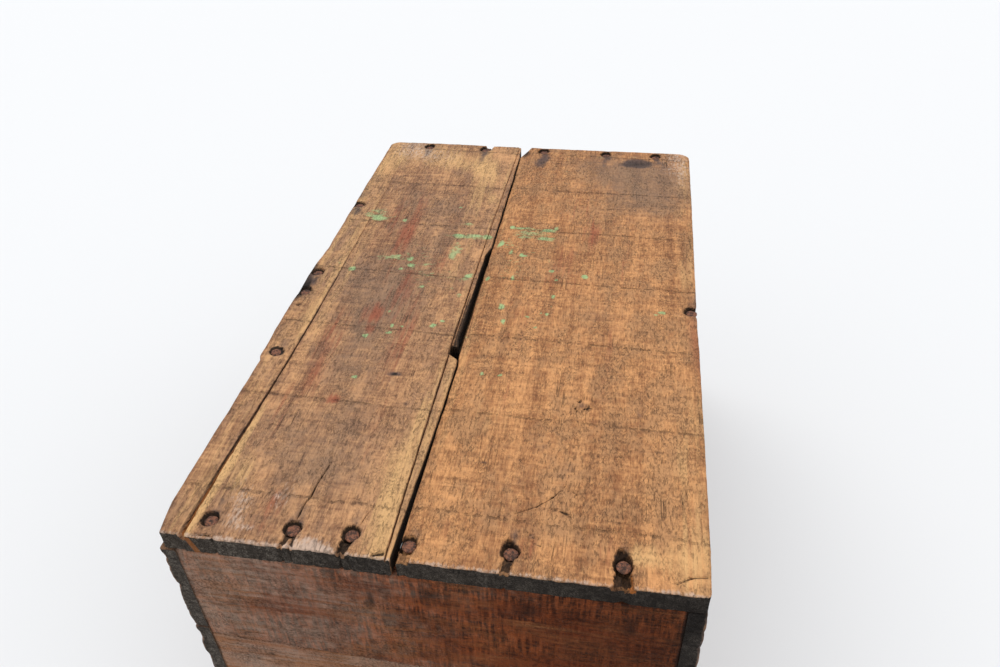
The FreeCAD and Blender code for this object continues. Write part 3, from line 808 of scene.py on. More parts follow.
        # Painted shade on the rounded outer edge, where the face turns down.
        outer_wall = 0.42 * ease(0.6, 0.1, self.high_edge(l) - a) * ease(-1.0, -2.0, h)
        corner = 0.8 * blot(a, l, 143.0, 484.0, 4.0, 9.0, 23)
        rim = 0.7 * blot(a, l, 302.0, 240.0, 4.0, 5.0, 24)
        for part in (gap_shade, broken, corner, rim, outer_wall, added(a, l, self.hollows)):
            dirt_and_shade = np.maximum(dirt_and_shade, part)
        # On the end grain the mask is replaced by a darkening that grows towards higher across.
        end_wall = ease(2.4, 0.9, self.end_inset(a, l)) * ease(-0.9, -1.6, h) * (1 - bare)
        return bare, np.where(end_wall > 0.5, 0.42 + 0.22 * ease(150, 290, a), dirt_and_shade)


# ---------------------------------------------------------------- sides and ends

SIDE_NAIL_HEIGHTS = (18.0, 76.0, 112.0, 160.0, 207.0, 247.0)
SIDE_NEAR_INSET = 7.5
SIDE_FAR_INSET = 13.0
EDGE_WAVER = 2.2  # both edges of a seam follow the same wave, so slats never cross


class SideSlat(Board):
    """One slat of a long side, its ends weathered into lumps."""

    sink = SIDE_HEAD_SINK
    edge_wear = 1.6
    end_wear = 1.5
    ring_step = 9.0
    depths = (0.0, 0.08, 0.22, 0.42, 0.62, 0.82, 0.94, 1.0)

    def __init__(self, node, seed, thickness, low, high, end_lumps, end_darkness):
        super().__init__(node, seed, thickness)
        self.end_darkness = end_darkness
        heights = [height for height in SIDE_NAIL_HEIGHTS if low < height < high]
        self.nails = [(height, SIDE_NEAR_INSET) for height in heights]
        self.nails += [(height, crate_length - SIDE_FAR_INSET) for height in heights]
        self.end_lumps = end_lumps
        details = [(low, 3.0, 0.6), (high, 3.0, 0.6)] + nail_detail(self.nails, 0, 0.8)
        self.across = graded(low, high, 2.2, details)
        ends = [(0.0, 14.0, 0.7), (crate_length, 18.0, 0.8)]
        self.along = graded(0.0, crate_length, 3.0, ends)

    def near_end(self, a):
        return 0.5 * np.abs(lumps(a, 0 * a, 3.0, 1, self.seed + 31, 2))

    def low_edge(self, l):
        waver = EDGE_WAVER * lumps(l, 0 * l, 150.0, 1.0, self.seed + 21, 2)
        at_floor = self.across[0] < 1.0
        return self.across[0] + (np.abs(waver) if at_floor else waver)

    def high_edge(self, l):
        waver = EDGE_WAVER * lumps(l, 0 * l, 150.0, 1.0, self.seed + 20, 2)
        under_bottom = self.across[-1] > crate_height - BOTTOM_THICKNESS - 1.0
        return self.across[-1] + (-np.abs(waver) if under_bottom else waver)

    def extra(self, a, l):
        seed = self.seed
        inset = np.minimum(l, crate_length - l)
        weathered = self.end_lumps * ease(20.0, 0.0, inset)
        for across, along in self.nails:
            weathered = weathered * (1 - 0.8 * np.exp(-(((a - across) ** 2 + (l - along) ** 2) / 60.0)))
        h = -weathered * (0.1 + 0.3 * lumps(a, l, 16.0, 30.0, seed + 51, 2))
        gouges = np.abs(lumps(a, l, 12.0, 26.0, seed + 52, 2)) ** 0.5
        h = h - 2.1 * weathered * (1 - gouges)
        for i in range(5):
            across = self.across[0] + (self.across[-1] - self.across[0]) * scatter(i, seed, 7)
            start = 30 + 430 * scatter(i, seed, 8)
            end = start + 30 + 60 * scatter(i, seed, 9)
            path = [(start, across), (end, across + 3 * scatter(i, seed, 5))]
            h = h + crack(a, l, path, 2.4, 1.0, seed + i)
        dents = lumps(a, l, 14.0, 40.0, seed + 53, 2)
        return h - 0.5 * ease(0.35, 0.8, dents)

    def wall(self, side, run, depth):
        rough = super().wall(side, run, depth)
        if side in ("near", "far"):
            return rough - 0.5 * self.end_lumps * np.abs(lumps(run, depth, 9.0, 6.0, self.seed + 61, 2))
        return rough

    def marks(self, a, l, h):
        seed = self.seed
        stain = tail_stains(a, l, self.nails, 7.0, seed + 300)
        stain = np.maximum(stain, 0.6 * ease(16.0, 0.0, np.minimum(l, crate_length - l)))
        stain = np.maximum(stain, 0.5 * ease(0.25, 0.7, lumps(a, l, 30.0, 110.0, seed + 71, 2)))
        red = ease(-0.1, 0.9, lumps(a, l, 26.0, 190.0, seed + 72, 2)) * 0.42
        pale = ease(-0.2, 0.9, lumps(a, l, 22.0, 120.0, seed + 73, 2)) * 0.5
        tone = 0.45 + 0.45 * lumps(a, l, 50.0, 140.0, seed + 74, 2)
        knot = (self.across[0] + 20 + 35 * scatter(1, seed, 3), 120 + 250 * scatter(2, seed, 3))
        stain = np.maximum(stain, 0.95 * blot(a, l, knot[0], knot[1], 5.0, 8.0, seed))
        saw = (l + 0.04 * a) / (95.0 + 60.0 * scatter(4, seed, 3)) + scatter(3, seed, 3)
        # Painted shadow in the nail sockets.
        grime_and_shade = 0.6 * socket_shadows(a, l, self.nails, seed + 600)
        inside = np.minimum(a - self.low_edge(l), self.high_edge(l) - a)
        # Painted shade in deep gouges and cracks.
        grime_and_shade = np.maximum(grime_and_shade, 0.45 * ease(-1.8, -4.2, h) * ease(0.6, 2.0, inside))
        # Painted shade along both edges, where the slats meet.
        grime_and_shade = np.maximum(grime_and_shade, 0.45 * ease(3.5, 0.5, inside))
        # On the end grain the mask is replaced by a set darkness for each side.
        end = (np.minimum(l, crate_length - l) < 2.5) & (h < -1.0)
        grime_and_shade = np.where(end, self.end_darkness + 0.25 * lumps(a, h, 16.0, 6.0, seed + 75, 2), grime_and_shade)
        return {
            "stain": stain, "red": red, "pale": pale, "tone": np.clip(tone, 0, 1), "grime_and_shade": grime_and_shade, "saw": saw,
        }


class EndBoard(Board):
    """One thick board of an end, between the two sides. Here the grain runs across the crate."""

    end_wear = 0.5
    edge_wear = 0.7
    ring_step = 9.0
    # (height, along, half height, half width, strength) of each dark smudge
    smudges = [
        (240, 120, 11, 5, 0.75), (250, 152, 11, 7, 0.75), (250, 206, 11, 9, 0.75), (246, 262, 11, 7, 0.75),
    ]

    def __init__(self, node, seed, thickness, low_path, high_path, reach):
        super().__init__(node, seed, thickness)
        self.low_path = low_path
        self.high_path = high_path
        low, high = low_path[0][1], high_path[0][1]
        self.across = graded(low, high, 1.9, [(low, 3.0, 0.5), (high, 3.0, 0.5)])
        self.along = graded(reach[0], reach[1], 0.95, [(reach[0], 3.0, 0.5), (reach[1], 3.0, 0.5)])

    def low_edge(self, l):
        return follow(self.low_path, l)

    def high_edge(self, l):
        return follow(self.high_path, l)

    def near_end(self, a):
        return self.along[0] + 0 * a

    def far_end(self, a):
        return self.along[-1] + 0 * a

    def bend(self, A, L):
        share = (A - self.across[0]) / (self.across[-1] - self.across[0])
        return self.low_edge(L) * (1 - share) + self.high_edge(L) * share, L

    def extra(self, a, l):
        seed = self.seed
        ribs = ease(0.1, -0.7, lumps(a + 0.3 * l, l + 0.06 * a, 55.0, 3.2, seed + 81))
        ribs = ribs * ease(-0.7, 0.3, lumps(a, l, 70.0, 50.0, seed + 82))
        h = -0.38 * ribs - 0.3 * ease(0.5, 0.9, lumps(a, l, 22.0, 30.0, seed + 83, 2))
        rough = ease(0.0, 0.5, lumps(a, l, 60.0, 90.0, seed + 85))
        return h - 0.25 * rough * (1 + lumps(a, l, 3.0, 30.0, seed + 84, 2))

    def marks(self, a, l, h):
        seed = self.seed
        # The board is drawn greyer towards low along.
        left = ease(250.0, 20.0, l)
        streaks = lumps(a, l, 60.0, 5.0, seed + 91, 3)
        stain = 0.6 * ease(0.1, 0.7, streaks) * ease(-0.5, 0.3, lumps(a, l, 50.0, 60.0, seed + 92))
        stain = np.maximum(stain, strongest(a, l, self.smudges, [along for _, along, *_ in self.smudges]))
        red = 0.35 + 0.3 * ease(120.0, 280.0, l) + 0.5 * lumps(a, l, 22.0, 60.0, seed + 93, 2)
        tone = 0.68 * left + 0.16 * lumps(a, l, 30.0, 50.0, seed + 94, 2)
        pale = 0.37 + 0.32 * lumps(a, l, 26.0, 34.0, seed + 95, 3)
        if self.low_path[0][1] < 1.0:
            tone = tone + 0.45
            pale = pale + 0.18
        # Darker towards high along, and darker still along both ends, where the board meets the sides.
        grime_and_shade = 0.12 + 0.3 * ease(100.0, 290.0, l)
        edges = np.minimum(l - self.along[0], self.along[-1] - l)
        grime_and_shade = grime_and_shade + 0.5 * ease(2.5, 0.3, edges)
        return {
            "stain": stain, "red": red, "tone": np.clip(tone, 0, 1), "pale": pale, "grime_and_shade": grime_and_shade,
            "saw": l / 95.0 + 0.3,
        }


# ---------------------------------------------------------------- shader kit

def linear(code):
    """A colour written as on a paint card, #RRGGBB, as linear values."""
    parts = [int(code[i:i + 2], 16) / 255 for i in (1, 3, 5)]
    return [p / 12.92 if p <= 0.04045 else ((p + 0.055) / 1.055) ** 2.4 for p in parts] + [1.0]


class Bench:
    """Adds nodes to one tree. Every method returns an output socket."""

    def __init__(self, tree):
        self.tree = tree

    def put(self, kind, *values, out=0, **settings):
        node = self.tree.nodes.new(kind)
        for key, value in settings.items():
            setattr(node, key, value)
        for slot, value in values:
            self.feed(node.inputs[slot], value)
        return node.outputs[out]

    def feed(self, socket, value):
        if isinstance(value, bpy.types.NodeSocket):
            self.tree.links.new(value, socket)
        elif value is not None:
            socket.default_value = value

    def math(self, operation, a, b=None, clamp=False):
        return self.put("ShaderNodeMath", (0, a), (1, b), operation=operation, use_clamp=clamp)

    def plus(self, a, b, clamp=False):
        return self.math("ADD", a, b, clamp)

    def less(self, a, b):
        return self.math("SUBTRACT", a, b)

    def times(self, a, b):
        return self.math("MULTIPLY", a, b)

    def size(self, a):
        return self.math("ABSOLUTE", a)

    def weighed(self, *parts):
        """A sum of (value, weight) parts."""
        total = self.times(*parts[0])
        for part in parts[1:]:
            total = self.plus(total, self.times(*part))
        return total

    def ease(self, low, high, value):
        return self.put(
            "ShaderNodeMapRange", ("Value", value), ("From Min", low), ("From Max", high),
            interpolation_type="SMOOTHSTEP",
        )

    def scale(self, vector, factors):
        return self.put("ShaderNodeVectorMath", (0, vector), (1, factors), operation="MULTIPLY")

    def noise(self, vector, scale, detail=3.0, roughness=0.55, distortion=0.0, squeeze=None):
        """Noise, drawn out along the directions that squeeze makes small."""
        if squeeze is not None:
            vector = self.scale(vector, squeeze)
        return self.put(
            "ShaderNodeTexNoise", ("Vector", vector), ("Scale", scale), ("Detail", detail),
            ("Roughness", roughness), ("Distortion", distortion),
        )

    def blend(self, factor, first, second, how="MIX"):
        node = self.tree.nodes.new("ShaderNodeMix")
        node.data_type = "RGBA"
        node.blend_type = how
        self.feed(node.inputs[0], factor)
        self.feed(node.inputs[6], first)
        self.feed(node.inputs[7], second)
        return node.outputs[2]

    def mark(self, name):
        return self.put("ShaderNodeAttribute", attribute_name=name, out=2)

    def place(self):
        return self.put("ShaderNodeAttribute", attribute_name="place", out=1)

    def use(self, group, **values):
        node = self.tree.nodes.new("ShaderNodeGroup")
        node.node_tree = group
        for name, value in values.items():
            self.feed(node.inputs[name.replace("_", " ")], value)
        return node.outputs


KINDS = {"vector": "NodeSocketVector", "colour": "NodeSocketColor", "value": "NodeSocketFloat"}


def shader_group(name, inputs, outputs, build):
    """A node group. build takes the bench and the inputs and returns the outputs by name."""
    tree = bpy.data.node_groups.new(name, "ShaderNodeTree")
    for direction, sockets in (("INPUT", inputs), ("OUTPUT", outputs)):
        for label, kind in sockets.items():
            tree.interface.new_socket(label, in_out=direction, socket_type=KINDS[kind])
    bench = Bench(tree)
    entry = tree.nodes.new("NodeGroupInput")
    leave = tree.nodes.new("NodeGroupOutput")
    results = build(bench, {label: entry.outputs[label] for label in inputs})
    for label, result in results.items():
        bench.feed(leave.inputs[label], result)
    return tree


def build_grain(b, given):
    """Rough-sawn softwood: broad bands, fibres, thin checks, and rows of torn scales."""
    place = given["Place"]
    along = b.put("ShaderNodeSeparateXYZ", (0, place), out=1)
    bands = b.noise(place, 85.0, 4.0, 0.55, 0.35, squeeze=given["Stretch"])
    fibre = b.noise(place, 900.0, 4.0, 0.7, squeeze=(1.0, 0.11, 1.0))
    swathes = b.noise(place, 240.0, 4.0, 0.6, squeeze=(0.03, 1.0, 1.0))
    mottle = b.noise(place, 48.0, 6.0, 0.75, squeeze=(1.0, 0.6, 1.0))
    blotch = b.noise(place, 260.0, 4.0, 0.7, squeeze=(1.0, 0.7, 1.0))
    figure = b.weighed((bands, 0.30), (fibre, 0.30), (swathes, 0.15), (blotch, 0.25))
    ribs = b.noise(place, 430.0, 3.0, 0.6, squeeze=(0.12, 1.0, 1.0))
    ribs = b.times(b.less(ribs, 0.5), given["Ribs"])
    figure = b.plus(figure, ribs)
    colour = b.blend(b.ease(0.38, 0.62, figure), given["Dark"], given["Light"])
    dull = b.times(b.ease(0.42, 0.62, mottle), 0.6)
    colour = b.blend(dull, colour, given["Mid"])
    soil = b.ease(0.54, 0.70, b.noise(place, 75.0, 6.0, 0.72, squeeze=(1.0, 0.75, 1.0)))
    colour = b.blend(b.times(soil, 0.26), colour, given["Dark"])
    ragged = b.noise(place, 480.0, 3.0, 0.6, squeeze=(1.0, 0.17, 1.0))
    drift = b.noise(place, 36.0, 2.0, squeeze=(0.3, 1.0, 1.0))
    step = b.math("FRACT", b.weighed((along, given["Rows"]), (ragged, 4.2), (drift, 3.5)))
    where = b.ease(0.40, 0.62, b.noise(place, 80.0, 3.0, 0.6, squeeze=(1.0, 0.5, 1.0)))
    scales = b.times(b.ease(0.58, 0.98, step), where)
    pits = b.noise(place, 660.0, 3.0, 0.6, squeeze=(1.0, 0.3, 1.0))
    pits = b.times(b.ease(0.53, 0.68, pits), b.ease(0.34, 0.56, mottle))
    vein = b.noise(place, 120.0, 2.0, 0.5, squeeze=(1.0, 0.035, 1.0))
    vein = b.ease(0.008, 0.001, b.size(b.less(vein, 0.5)))
    checks = b.times(vein, b.ease(0.56, 0.66, b.noise(place, 33.0, 3.0)))
    height = b.weighed(
        (fibre, 0.5), (blotch, 0.5), (ribs, 1.9), (b.times(step, where), -0.45), (pits, -0.45), (checks, -0.9)
    )
    # Darkening from the torn scales, pits and checks: soiling, and painted shade on the steep drop of each
    # scale and in the hollows.
    dirt_and_shade = b.plus(b.times(scales, given["Tear"]), b.times(pits, 0.42))
    dirt_and_shade = b.plus(dirt_and_shade, b.times(checks, 0.65), clamp=True)
    return {"Colour": colour, "Dirt and shade": dirt_and_shade, "Height": height}


def build_saw_lines(b, given):
    """Broken dark lines across the grain, where the saw dwelt and tore the fibres."""
    place = given["Place"]
    wander = b.times(b.less(b.noise(place, 22.0, 2.0), 0.5), 0.05)
    frayed = b.noise(place, 620.0, 3.0, 0.65, squeeze=(1.0, 0.15, 1.0))
    frayed = b.times(b.less(frayed, 0.5), 0.06)
    phase = b.plus(b.plus(given["Phase"], wander), frayed)
    off = b.size(b.less(b.math("FRACT", b.plus(phase, 0.5)), 0.5))
    broken = b.ease(0.38, 0.60, b.noise(place, 190.0, 3.0, 0.7, squeeze=(1.0, 0.3, 1.0)))
    line = b.times(b.ease(0.014, 0.001, off), broken)
    soft = b.times(b.ease(0.055, 0.0, off), b.ease(0.38, 0.66, b.noise(place, 45.0, 4.0)))
    return {"Line": line, "Soft": soft}


def build_end_grain(b, given):
    """Weathered end grain: crumbled pores, upright checks and slanting tooth marks."""
    place = given["Place"]
    flat = b.scale(place, (1.0, 0.08, 1.0))
    crumbs = b.noise(flat, 380.0, 5.0, 0.75)
    pores = b.noise(flat, 1500.0, 3.0, 0.7)
    checks = b.noise(flat, 520.0, 3.0, 0.6, squeeze=(1.0, 1.0, 0.2))
    x = b.put("ShaderNodeSeparateXYZ", (0, place), out=0)
    z = b.put("ShaderNodeSeparateXYZ", (0, place), out=2)
    slant = b.weighed((x, 420.0), (z, 520.0), (b.noise(flat, 260.0, 2.0), 2.6))
    tooth = b.ease(0.32, 0.05, b.size(b.less(b.math("FRACT", slant), 0.5)))
    mix = b.weighed((crumbs, 0.5), (pores, 0.5))
    colour = b.blend(b.ease(0.42, 0.66, mix), given["Dark"], given["Light"])
    fleck = b.times(b.ease(0.60, 0.72, pores), 0.5)
    colour = b.blend(fleck, colour, given["Fleck"])
    dark = b.times(b.ease(0.58, 0.70, checks), 0.6)
    colour = b.blend(dark, colour, linear("#15110F"))
    height = b.plus(mix, b.times(tooth, -0.16))
    height = b.less(height, b.times(dark, 0.7))
    return {"Colour": colour, "Height": height}


def build_rust(b, given):
    """Old iron: brown scale with paler bloom and dark pits."""
    place = given["Place"]
    bloom = b.noise(place, 700.0, 4.0, 0.65)
    scale = b.noise(place, 2200.0, 3.0, 0.6)
    colour = b.blend(b.ease(0.38, 0.60, bloom), linear("#3E2D26"), linear("#855640"))
    colour = b.blend(b.times(b.ease(0.58, 0.72, scale), 0.6), colour, linear("#8C5A42"))
    colour = b.blend(b.times(b.ease(0.44, 0.30, scale), 0.7), colour, linear("#241A18"))
    packed = b.ease(0.50, 0.62, b.noise(place, 240.0, 4.0, 0.6))
    colour = b.blend(b.times(packed, 0.75), colour, linear("#2C231E"))
    height = b.weighed((bloom, 0.6), (scale, 0.4))
    return {"Colour": colour, "Height": height, "Roughness": b.ease(0.2, 0.8, scale)}


def build_weathering(b, given):
    """Lays stains, old paint, fresh breaks and frayed edges over a board's own colour."""
    place = given["Place"]
    fine = b.noise(place, 620.0, 4.0, 0.65, squeeze=(1.0, 0.35, 1.0))
    streak = b.noise(place, 300.0, 4.0, 0.62, squeeze=(1.0, 0.06, 1.0))
    cloud = b.noise(place, 110.0, 5.0, 0.68)
    brush = b.noise(place, 460.0, 4.0, 0.65, squeeze=(0.45, 1.0, 1.0))

    def masked(mark, low, high, roughener, amount):
        value = b.plus(mark, b.times(b.less(roughener, 0.5), amount))
        return b.ease(low, high, value)

    colour = given["Colour"]
    for mark, hue, low, high, roughener, amount, cover in (
        ("Tone", "Grey", 0.0, 1.0, cloud, 1.0, 0.7),
        ("Red", "Red wood", 0.2, 0.95, streak, 1.5, 0.8),
        ("Pale", "Pale wood", 0.25, 0.95, streak, 1.1, 0.85),
        ("Stain", "Stain colour", 0.25, 0.95, cloud, 1.0, 0.82),
        ("Lip", "Lip colour", 0.32, 0.85, fine, 1.4, 0.72),
        ("Bare", "Bare wood", 0.25, 0.8, fine, 0.6, 0.85),
    ):
        share = masked(given[mark], low, high, roughener, amount)
        colour = b.blend(b.times(share, cover), colour, given[hue])
    flake = masked(given["Green"], 0.34, 0.56, brush, 1.0)
    thick = b.ease(0.4, 0.9, given["Green"])
    cover = b.times(flake, b.plus(b.times(thick, 0.4), 0.5))
    colour = b.blend(cover, colour, given["Paint"])
    return {"Colour": colour, "Flake": flake}


grain = shader_group(
    "softwood grain",
    {
        "Place": "vector", "Dark": "colour", "Mid": "colour", "Light": "colour",
        "Rows": "value", "Tear": "value", "Ribs": "value", "Stretch": "vector",
    },
    {"Colour": "colour", "Dirt and shade": "value", "Height": "value"},
    build_grain,
)
saw_lines = shader_group(
    "saw lines", {"Place": "vector", "Phase": "value"}, {"Line": "value", "Soft": "value"}, build_saw_lines
)
end_grain = shader_group(
    "end grain",
    {"Place": "vector", "Dark": "colour", "Light": "colour", "Fleck": "colour"},
    {"Colour": "colour", "Height": "value"},
    build_end_grain,
)
rust = shader_group(
    "rust",
    {"Place": "vector"},
    {"Colour": "colour", "Height": "value", "Roughness": "value"},
    build_rust,
)
WEATHER_MARKS = ("Green", "Red", "Pale", "Stain", "Tone", "Bare", "Lip")
WEATHERED = {
    "Grey": "#7F6856", "Red wood": "#964F38", "Pale wood": "#D9AB74", "Stain colour": "#473D3E",
    "Lip colour": "#CCB3A1", "Paint": "#9DBE83", "Bare wood": "#A8632B",
}
weathering = shader_group(
    "weathering",
    {
        "Place": "vector", "Colour": "colour",
        **{name: "value" for name in WEATHER_MARKS},
        **{name: "colour" for name in WEATHERED},
    },
    {"Colour": "colour", "Flake": "value"},
    build_weathering,
)


# ---------------------------------------------------------------- materials

def new_material(name):
    material = bpy.data.materials.new(name)
    material.use_nodes = True
    bench = Bench(material.node_tree)
    shader = material.node_tree.nodes["Principled BSDF"]
    return material, bench, shader


def bump(b, shader, height, distance, strength=1.0):
    normal = b.put("ShaderNodeBump", ("Height", height), ("Distance", distance), ("Strength", strength))
    b.feed(shader.inputs["Normal"], normal)


NEAR_BLACK = "#120E0C"
SAW_DIRT_AND_SHADE = "#33231A"


def blackened_by_soil_and_shade(b, place, colour):
    """Blackens a colour by the mark of soiling and painted shade, roughened with a cloud."""
    cloud = b.noise(place, 260.0, 4.0, 0.65)
    grime_and_shade = b.plus(b.mark("grime_and_shade"), b.times(b.less(cloud, 0.5), 0.5))
    return b.blend(b.times(b.ease(0.12, 0.9, grime_and_shade), 0.93), colour, linear(NEAR_BLACK))


def sawn_face(name, dark, mid, light, relief=1.0, rows=240.0, tear=0.45, stretch=0.05,
              lines=0.42, ribs=0.15, shine=0.18, colours=None):
    """A board's face: grain, saw lines, the stains that its marks place on it, and painted shade.

    Rows and ribs of torn wood run across the grain, stretch draws the bands out along it, and
    lines is the strength of the saw lines.
    """
    material, b, shader = new_material(name)
    place = b.place()
    hue = {"Dark": linear(dark), "Mid": linear(mid), "Light": linear(light)}
    wood = b.use(grain, Place=place, Rows=rows, Tear=tear, Ribs=ribs, Stretch=(1.0, stretch, 1.0), **hue)
    saw = b.use(saw_lines, Place=place, Phase=b.mark("saw"))
    cut = b.plus(b.times(saw["Line"], lines), b.times(saw["Soft"], 0.45 * lines))
    cut = b.plus(cut, wood["Dirt and shade"], clamp=True)
    values = {mark: b.mark(mark.lower()) for mark in WEATHER_MARKS}
    hues = dict(WEATHERED, **(colours or {}))
    values.update({key.replace(" ", "_"): linear(code) for key, code in hues.items()})
    worn = b.use(weathering, Place=place, Colour=wood["Colour"], **values)
    # Saw lines, and the soiling and painted shade of the grain, in one dark colour.
    colour = b.blend(b.times(cut, 0.62), worn["Colour"], linear(SAW_DIRT_AND_SHADE))
    b.feed(shader.inputs["Base Color"], blackened_by_soil_and_shade(b, place, colour))
    rough = b.less(0.76, b.times(worn["Flake"], 0.22))
    b.feed(shader.inputs["Roughness"], rough)
    shader.inputs["Specular IOR Level"].default_value = shine
    height = b.less(wood["Height"], b.times(saw["Line"], 1.7 * lines))
    height = b.plus(height, b.times(worn["Flake"], 0.2))
    bump(b, shader, height, 0.0013 * relief)
    return material


def sawn_end(name, dark, light, fleck, relief=1.0):
    """A board's end grain, blackened where its marks darken it."""
    material, b, shader = new_material(name)
    place = b.place()
    wood = b.use(end_grain, Place=place, Dark=linear(dark), Light=linear(light), Fleck=linear(fleck))
    cloud = b.noise(place, 90.0, 4.0, 0.6)
    colour = b.blend(b.times(b.ease(0.40, 0.68, cloud), 0.6), wood["Colour"], linear(dark))
    colour = b.blend(b.ease(0.3, 0.9, b.mark("bare")), colour, linear(WEATHERED["Bare wood"]))
    b.feed(shader.inputs["Base Color"], blackened_by_soil_and_shade(b, place, colour))
    b.feed(shader.inputs["Roughness"], b.plus(0.72, b.times(cloud, 0.2)))
    shader.inputs["Specular IOR Level"].default_value = 0.1
    bump(b, shader, wood["Height"], 0.0016 * relief)
    return material


def rusty_iron():
    material, b, shader = new_material("rusty_iron")
    place = b.put("ShaderNodeTexCoord", out=3)
    iron = b.use(rust, Place=place)
    b.feed(shader.inputs["Base Color"], iron["Colour"])
    b.feed(shader.inputs["Roughness"], b.plus(0.55, b.times(iron["Roughness"], 0.3)))
    shader.inputs["Metallic"].default_value = 0.1
    shader.inputs["Specular IOR Level"].default_value = 0.25
    bump(b, shader, iron["Height"], 0.0006)
    return material


left_face = sawn_face(
    "left_bottom_face", "#76503A", "#947056", "#CE9A6C", relief=1.5, rows=280.0, tear=0.55
)
right_face = sawn_face(
    "right_bottom_face", "#875737", "#A97E58", "#D99C66", relief=1.5, rows=230.0, tear=0.7
)
bottom_inner = sawn_face("bottom_inner_face", "#735338", "#8C6C4C", "#B08D63")
side_face = sawn_face(
    "side_face", "#583A28", "#7E5D43", "#AE8056", relief=1.2, rows=260.0, tear=0.5, stretch=0.03, lines=0.2
)
side_inner = sawn_face("side_inner_face", "#70523A", "#8A6A4C", "#AC8860")
# The end boards: their own dark brown, painted darker still as shade for the near end, which faces away from
# the light; the far end shares it. Their red, stain and pale wood are darker copies for the same reason.
END_COLOURS = {"Grey": "#B69A86", "Red wood": "#6E3216", "Stain colour": "#241813", "Pale wood": "#9C6741"}
end_face_with_shade = sawn_face(
    "end_face_with_shade", "#2C1409", "#542C18", "#98502A", relief=2.2, rows=330.0, tear=0.9, stretch=0.3,
    lines=0.1, ribs=0.8, shine=0.06, colours=END_COLOURS,
)
end_inner = sawn_face("end_inner_face", "#6A4B33", "#846346", "#A58059")
bottom_end = sawn_end("bottom_end_grain", "#2F2822", "#6D645A", "#A39A8C")
side_end = sawn_end("side_end_grain", "#3C352F", "#7A7167", "#A0968A", relief=1.5)
end_board_end = sawn_end("end_board_end_grain", "#3E2E22", "#7A5F45", "#A08466")
iron = rusty_iron()


# ---------------------------------------------------------------- making the crate

X, Y, Z = (1, 0, 0), (0, 1, 0), (0, 0, 1)
bottom_place = ((cad_low.x, cad_low.y, cad_high.z), X, Y, Z)
left_side_place = ((cad_low.x, cad_low.y, cad_low.z), Z, Y, (-1, 0, 0))
right_side_place = ((cad_high.x, cad_low.y, cad_low.z), Z, Y, X)
near_end_place = ((cad_low.x, cad_low.y, cad_low.z), Z, X, (0, -1, 0))
far_end_place = ((cad_low.x, cad_high.y, cad_low.z), Z, X, Y)

saw_board(
    LeftBottomBoard("bottom_board_left", 1, BOTTOM_THICKNESS),
    "left_bottom_board", bottom_place, (left_face, bottom_end, bottom_inner),
)
saw_board(
    RightBottomBoard("bottom_board_right", 2, BOTTOM_THICKNESS),
    "right_bottom_board", bottom_place, (right_face, bottom_end, bottom_inner),
)


def heights(node):
    low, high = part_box(node)
    return low.z / MM, high.z / MM


def side_thickness(node):
    low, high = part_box(node)
    return (high.x - low.x) / MM


# Each side: its place, how lumpy its slat ends are, and how dark their end grain is drawn (the right side's
# much darker).
SIDES = (("left", left_side_place, 1.5, 0.15), ("right", right_side_place, 0.8, 0.7))
for side, place, end_lumps, end_darkness in SIDES:
    for i, part in enumerate(("base", "middle", "rim")):
        node = f"{side}_side_{part}_slat"
        low, high = heights(node)
        seed = 10 + i + 5 * (side == "right")
        slat = SideSlat(node, seed, side_thickness(node), low, high, end_lumps, end_darkness)
        saw_board(slat, f"{node}_wood", place, (side_face, side_end, side_inner))

SEAM = {"near": (183.0, 170.0), "far": (168.0, 176.0)}
SEAM_GAP = 0.6
inner_span = (side_thickness("left_side_base_slat"), crate_width - side_thickness("right_side_base_slat"))
for end, place in (("near", near_end_place), ("far", far_end_place)):
    node_low, node_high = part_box(f"{end}_end_base_board")
    thickness = (node_high.y - node_low.y) / MM
    top = node_high.z / MM
    seam = list(zip(inner_span, SEAM[end]))
    foot = [(along, 0.0) for along in inner_span]
    head = [(along, top) for along in inner_span]
    under_seam = [(along, height - SEAM_GAP) for along, height in seam]
    for part, low_path, high_path, seed in (("base", seam, head, 21), ("rim", foot, under_seam, 24)):
        node = f"{end}_end_{part}_board"
        board = EndBoard(node, seed + 7 * (end == "far"), thickness, low_path, high_path, inner_span)
        saw_board(board, f"{node}_wood", place, (end_face_with_shade, end_board_end, end_inner))


# ---------------------------------------------------------------- nails

NAIL_LENGTH = 45.0
SHANK_RADIUS = 1.4
POINT_LENGTH = 5.0
NAIL_SIDES = 28
CROWN = 0.05  # the highest that a head rises


# (height, radius, roughness) down one nail, from the middle of its head to its point
NAIL_RINGS = (
    (-0.1, 0.9, 0.15), (-0.05, 2.0, 0.25), (0.0, 3.0, 0.3), (-0.1, 3.5, 0.4),
    (-0.5, HEAD_RADIUS, 0.4), (-0.9, 3.8, 0.3), (-HEAD_THICKNESS, 3.2, 0.2),
    (-HEAD_THICKNESS - 0.3, SHANK_RADIUS + 0.1, 0.0), (-6.0, SHANK_RADIUS, 0.0),
    (POINT_LENGTH - NAIL_LENGTH, SHANK_RADIUS, 0.0), (0.4 - NAIL_LENGTH, 0.15, 0.0),
)


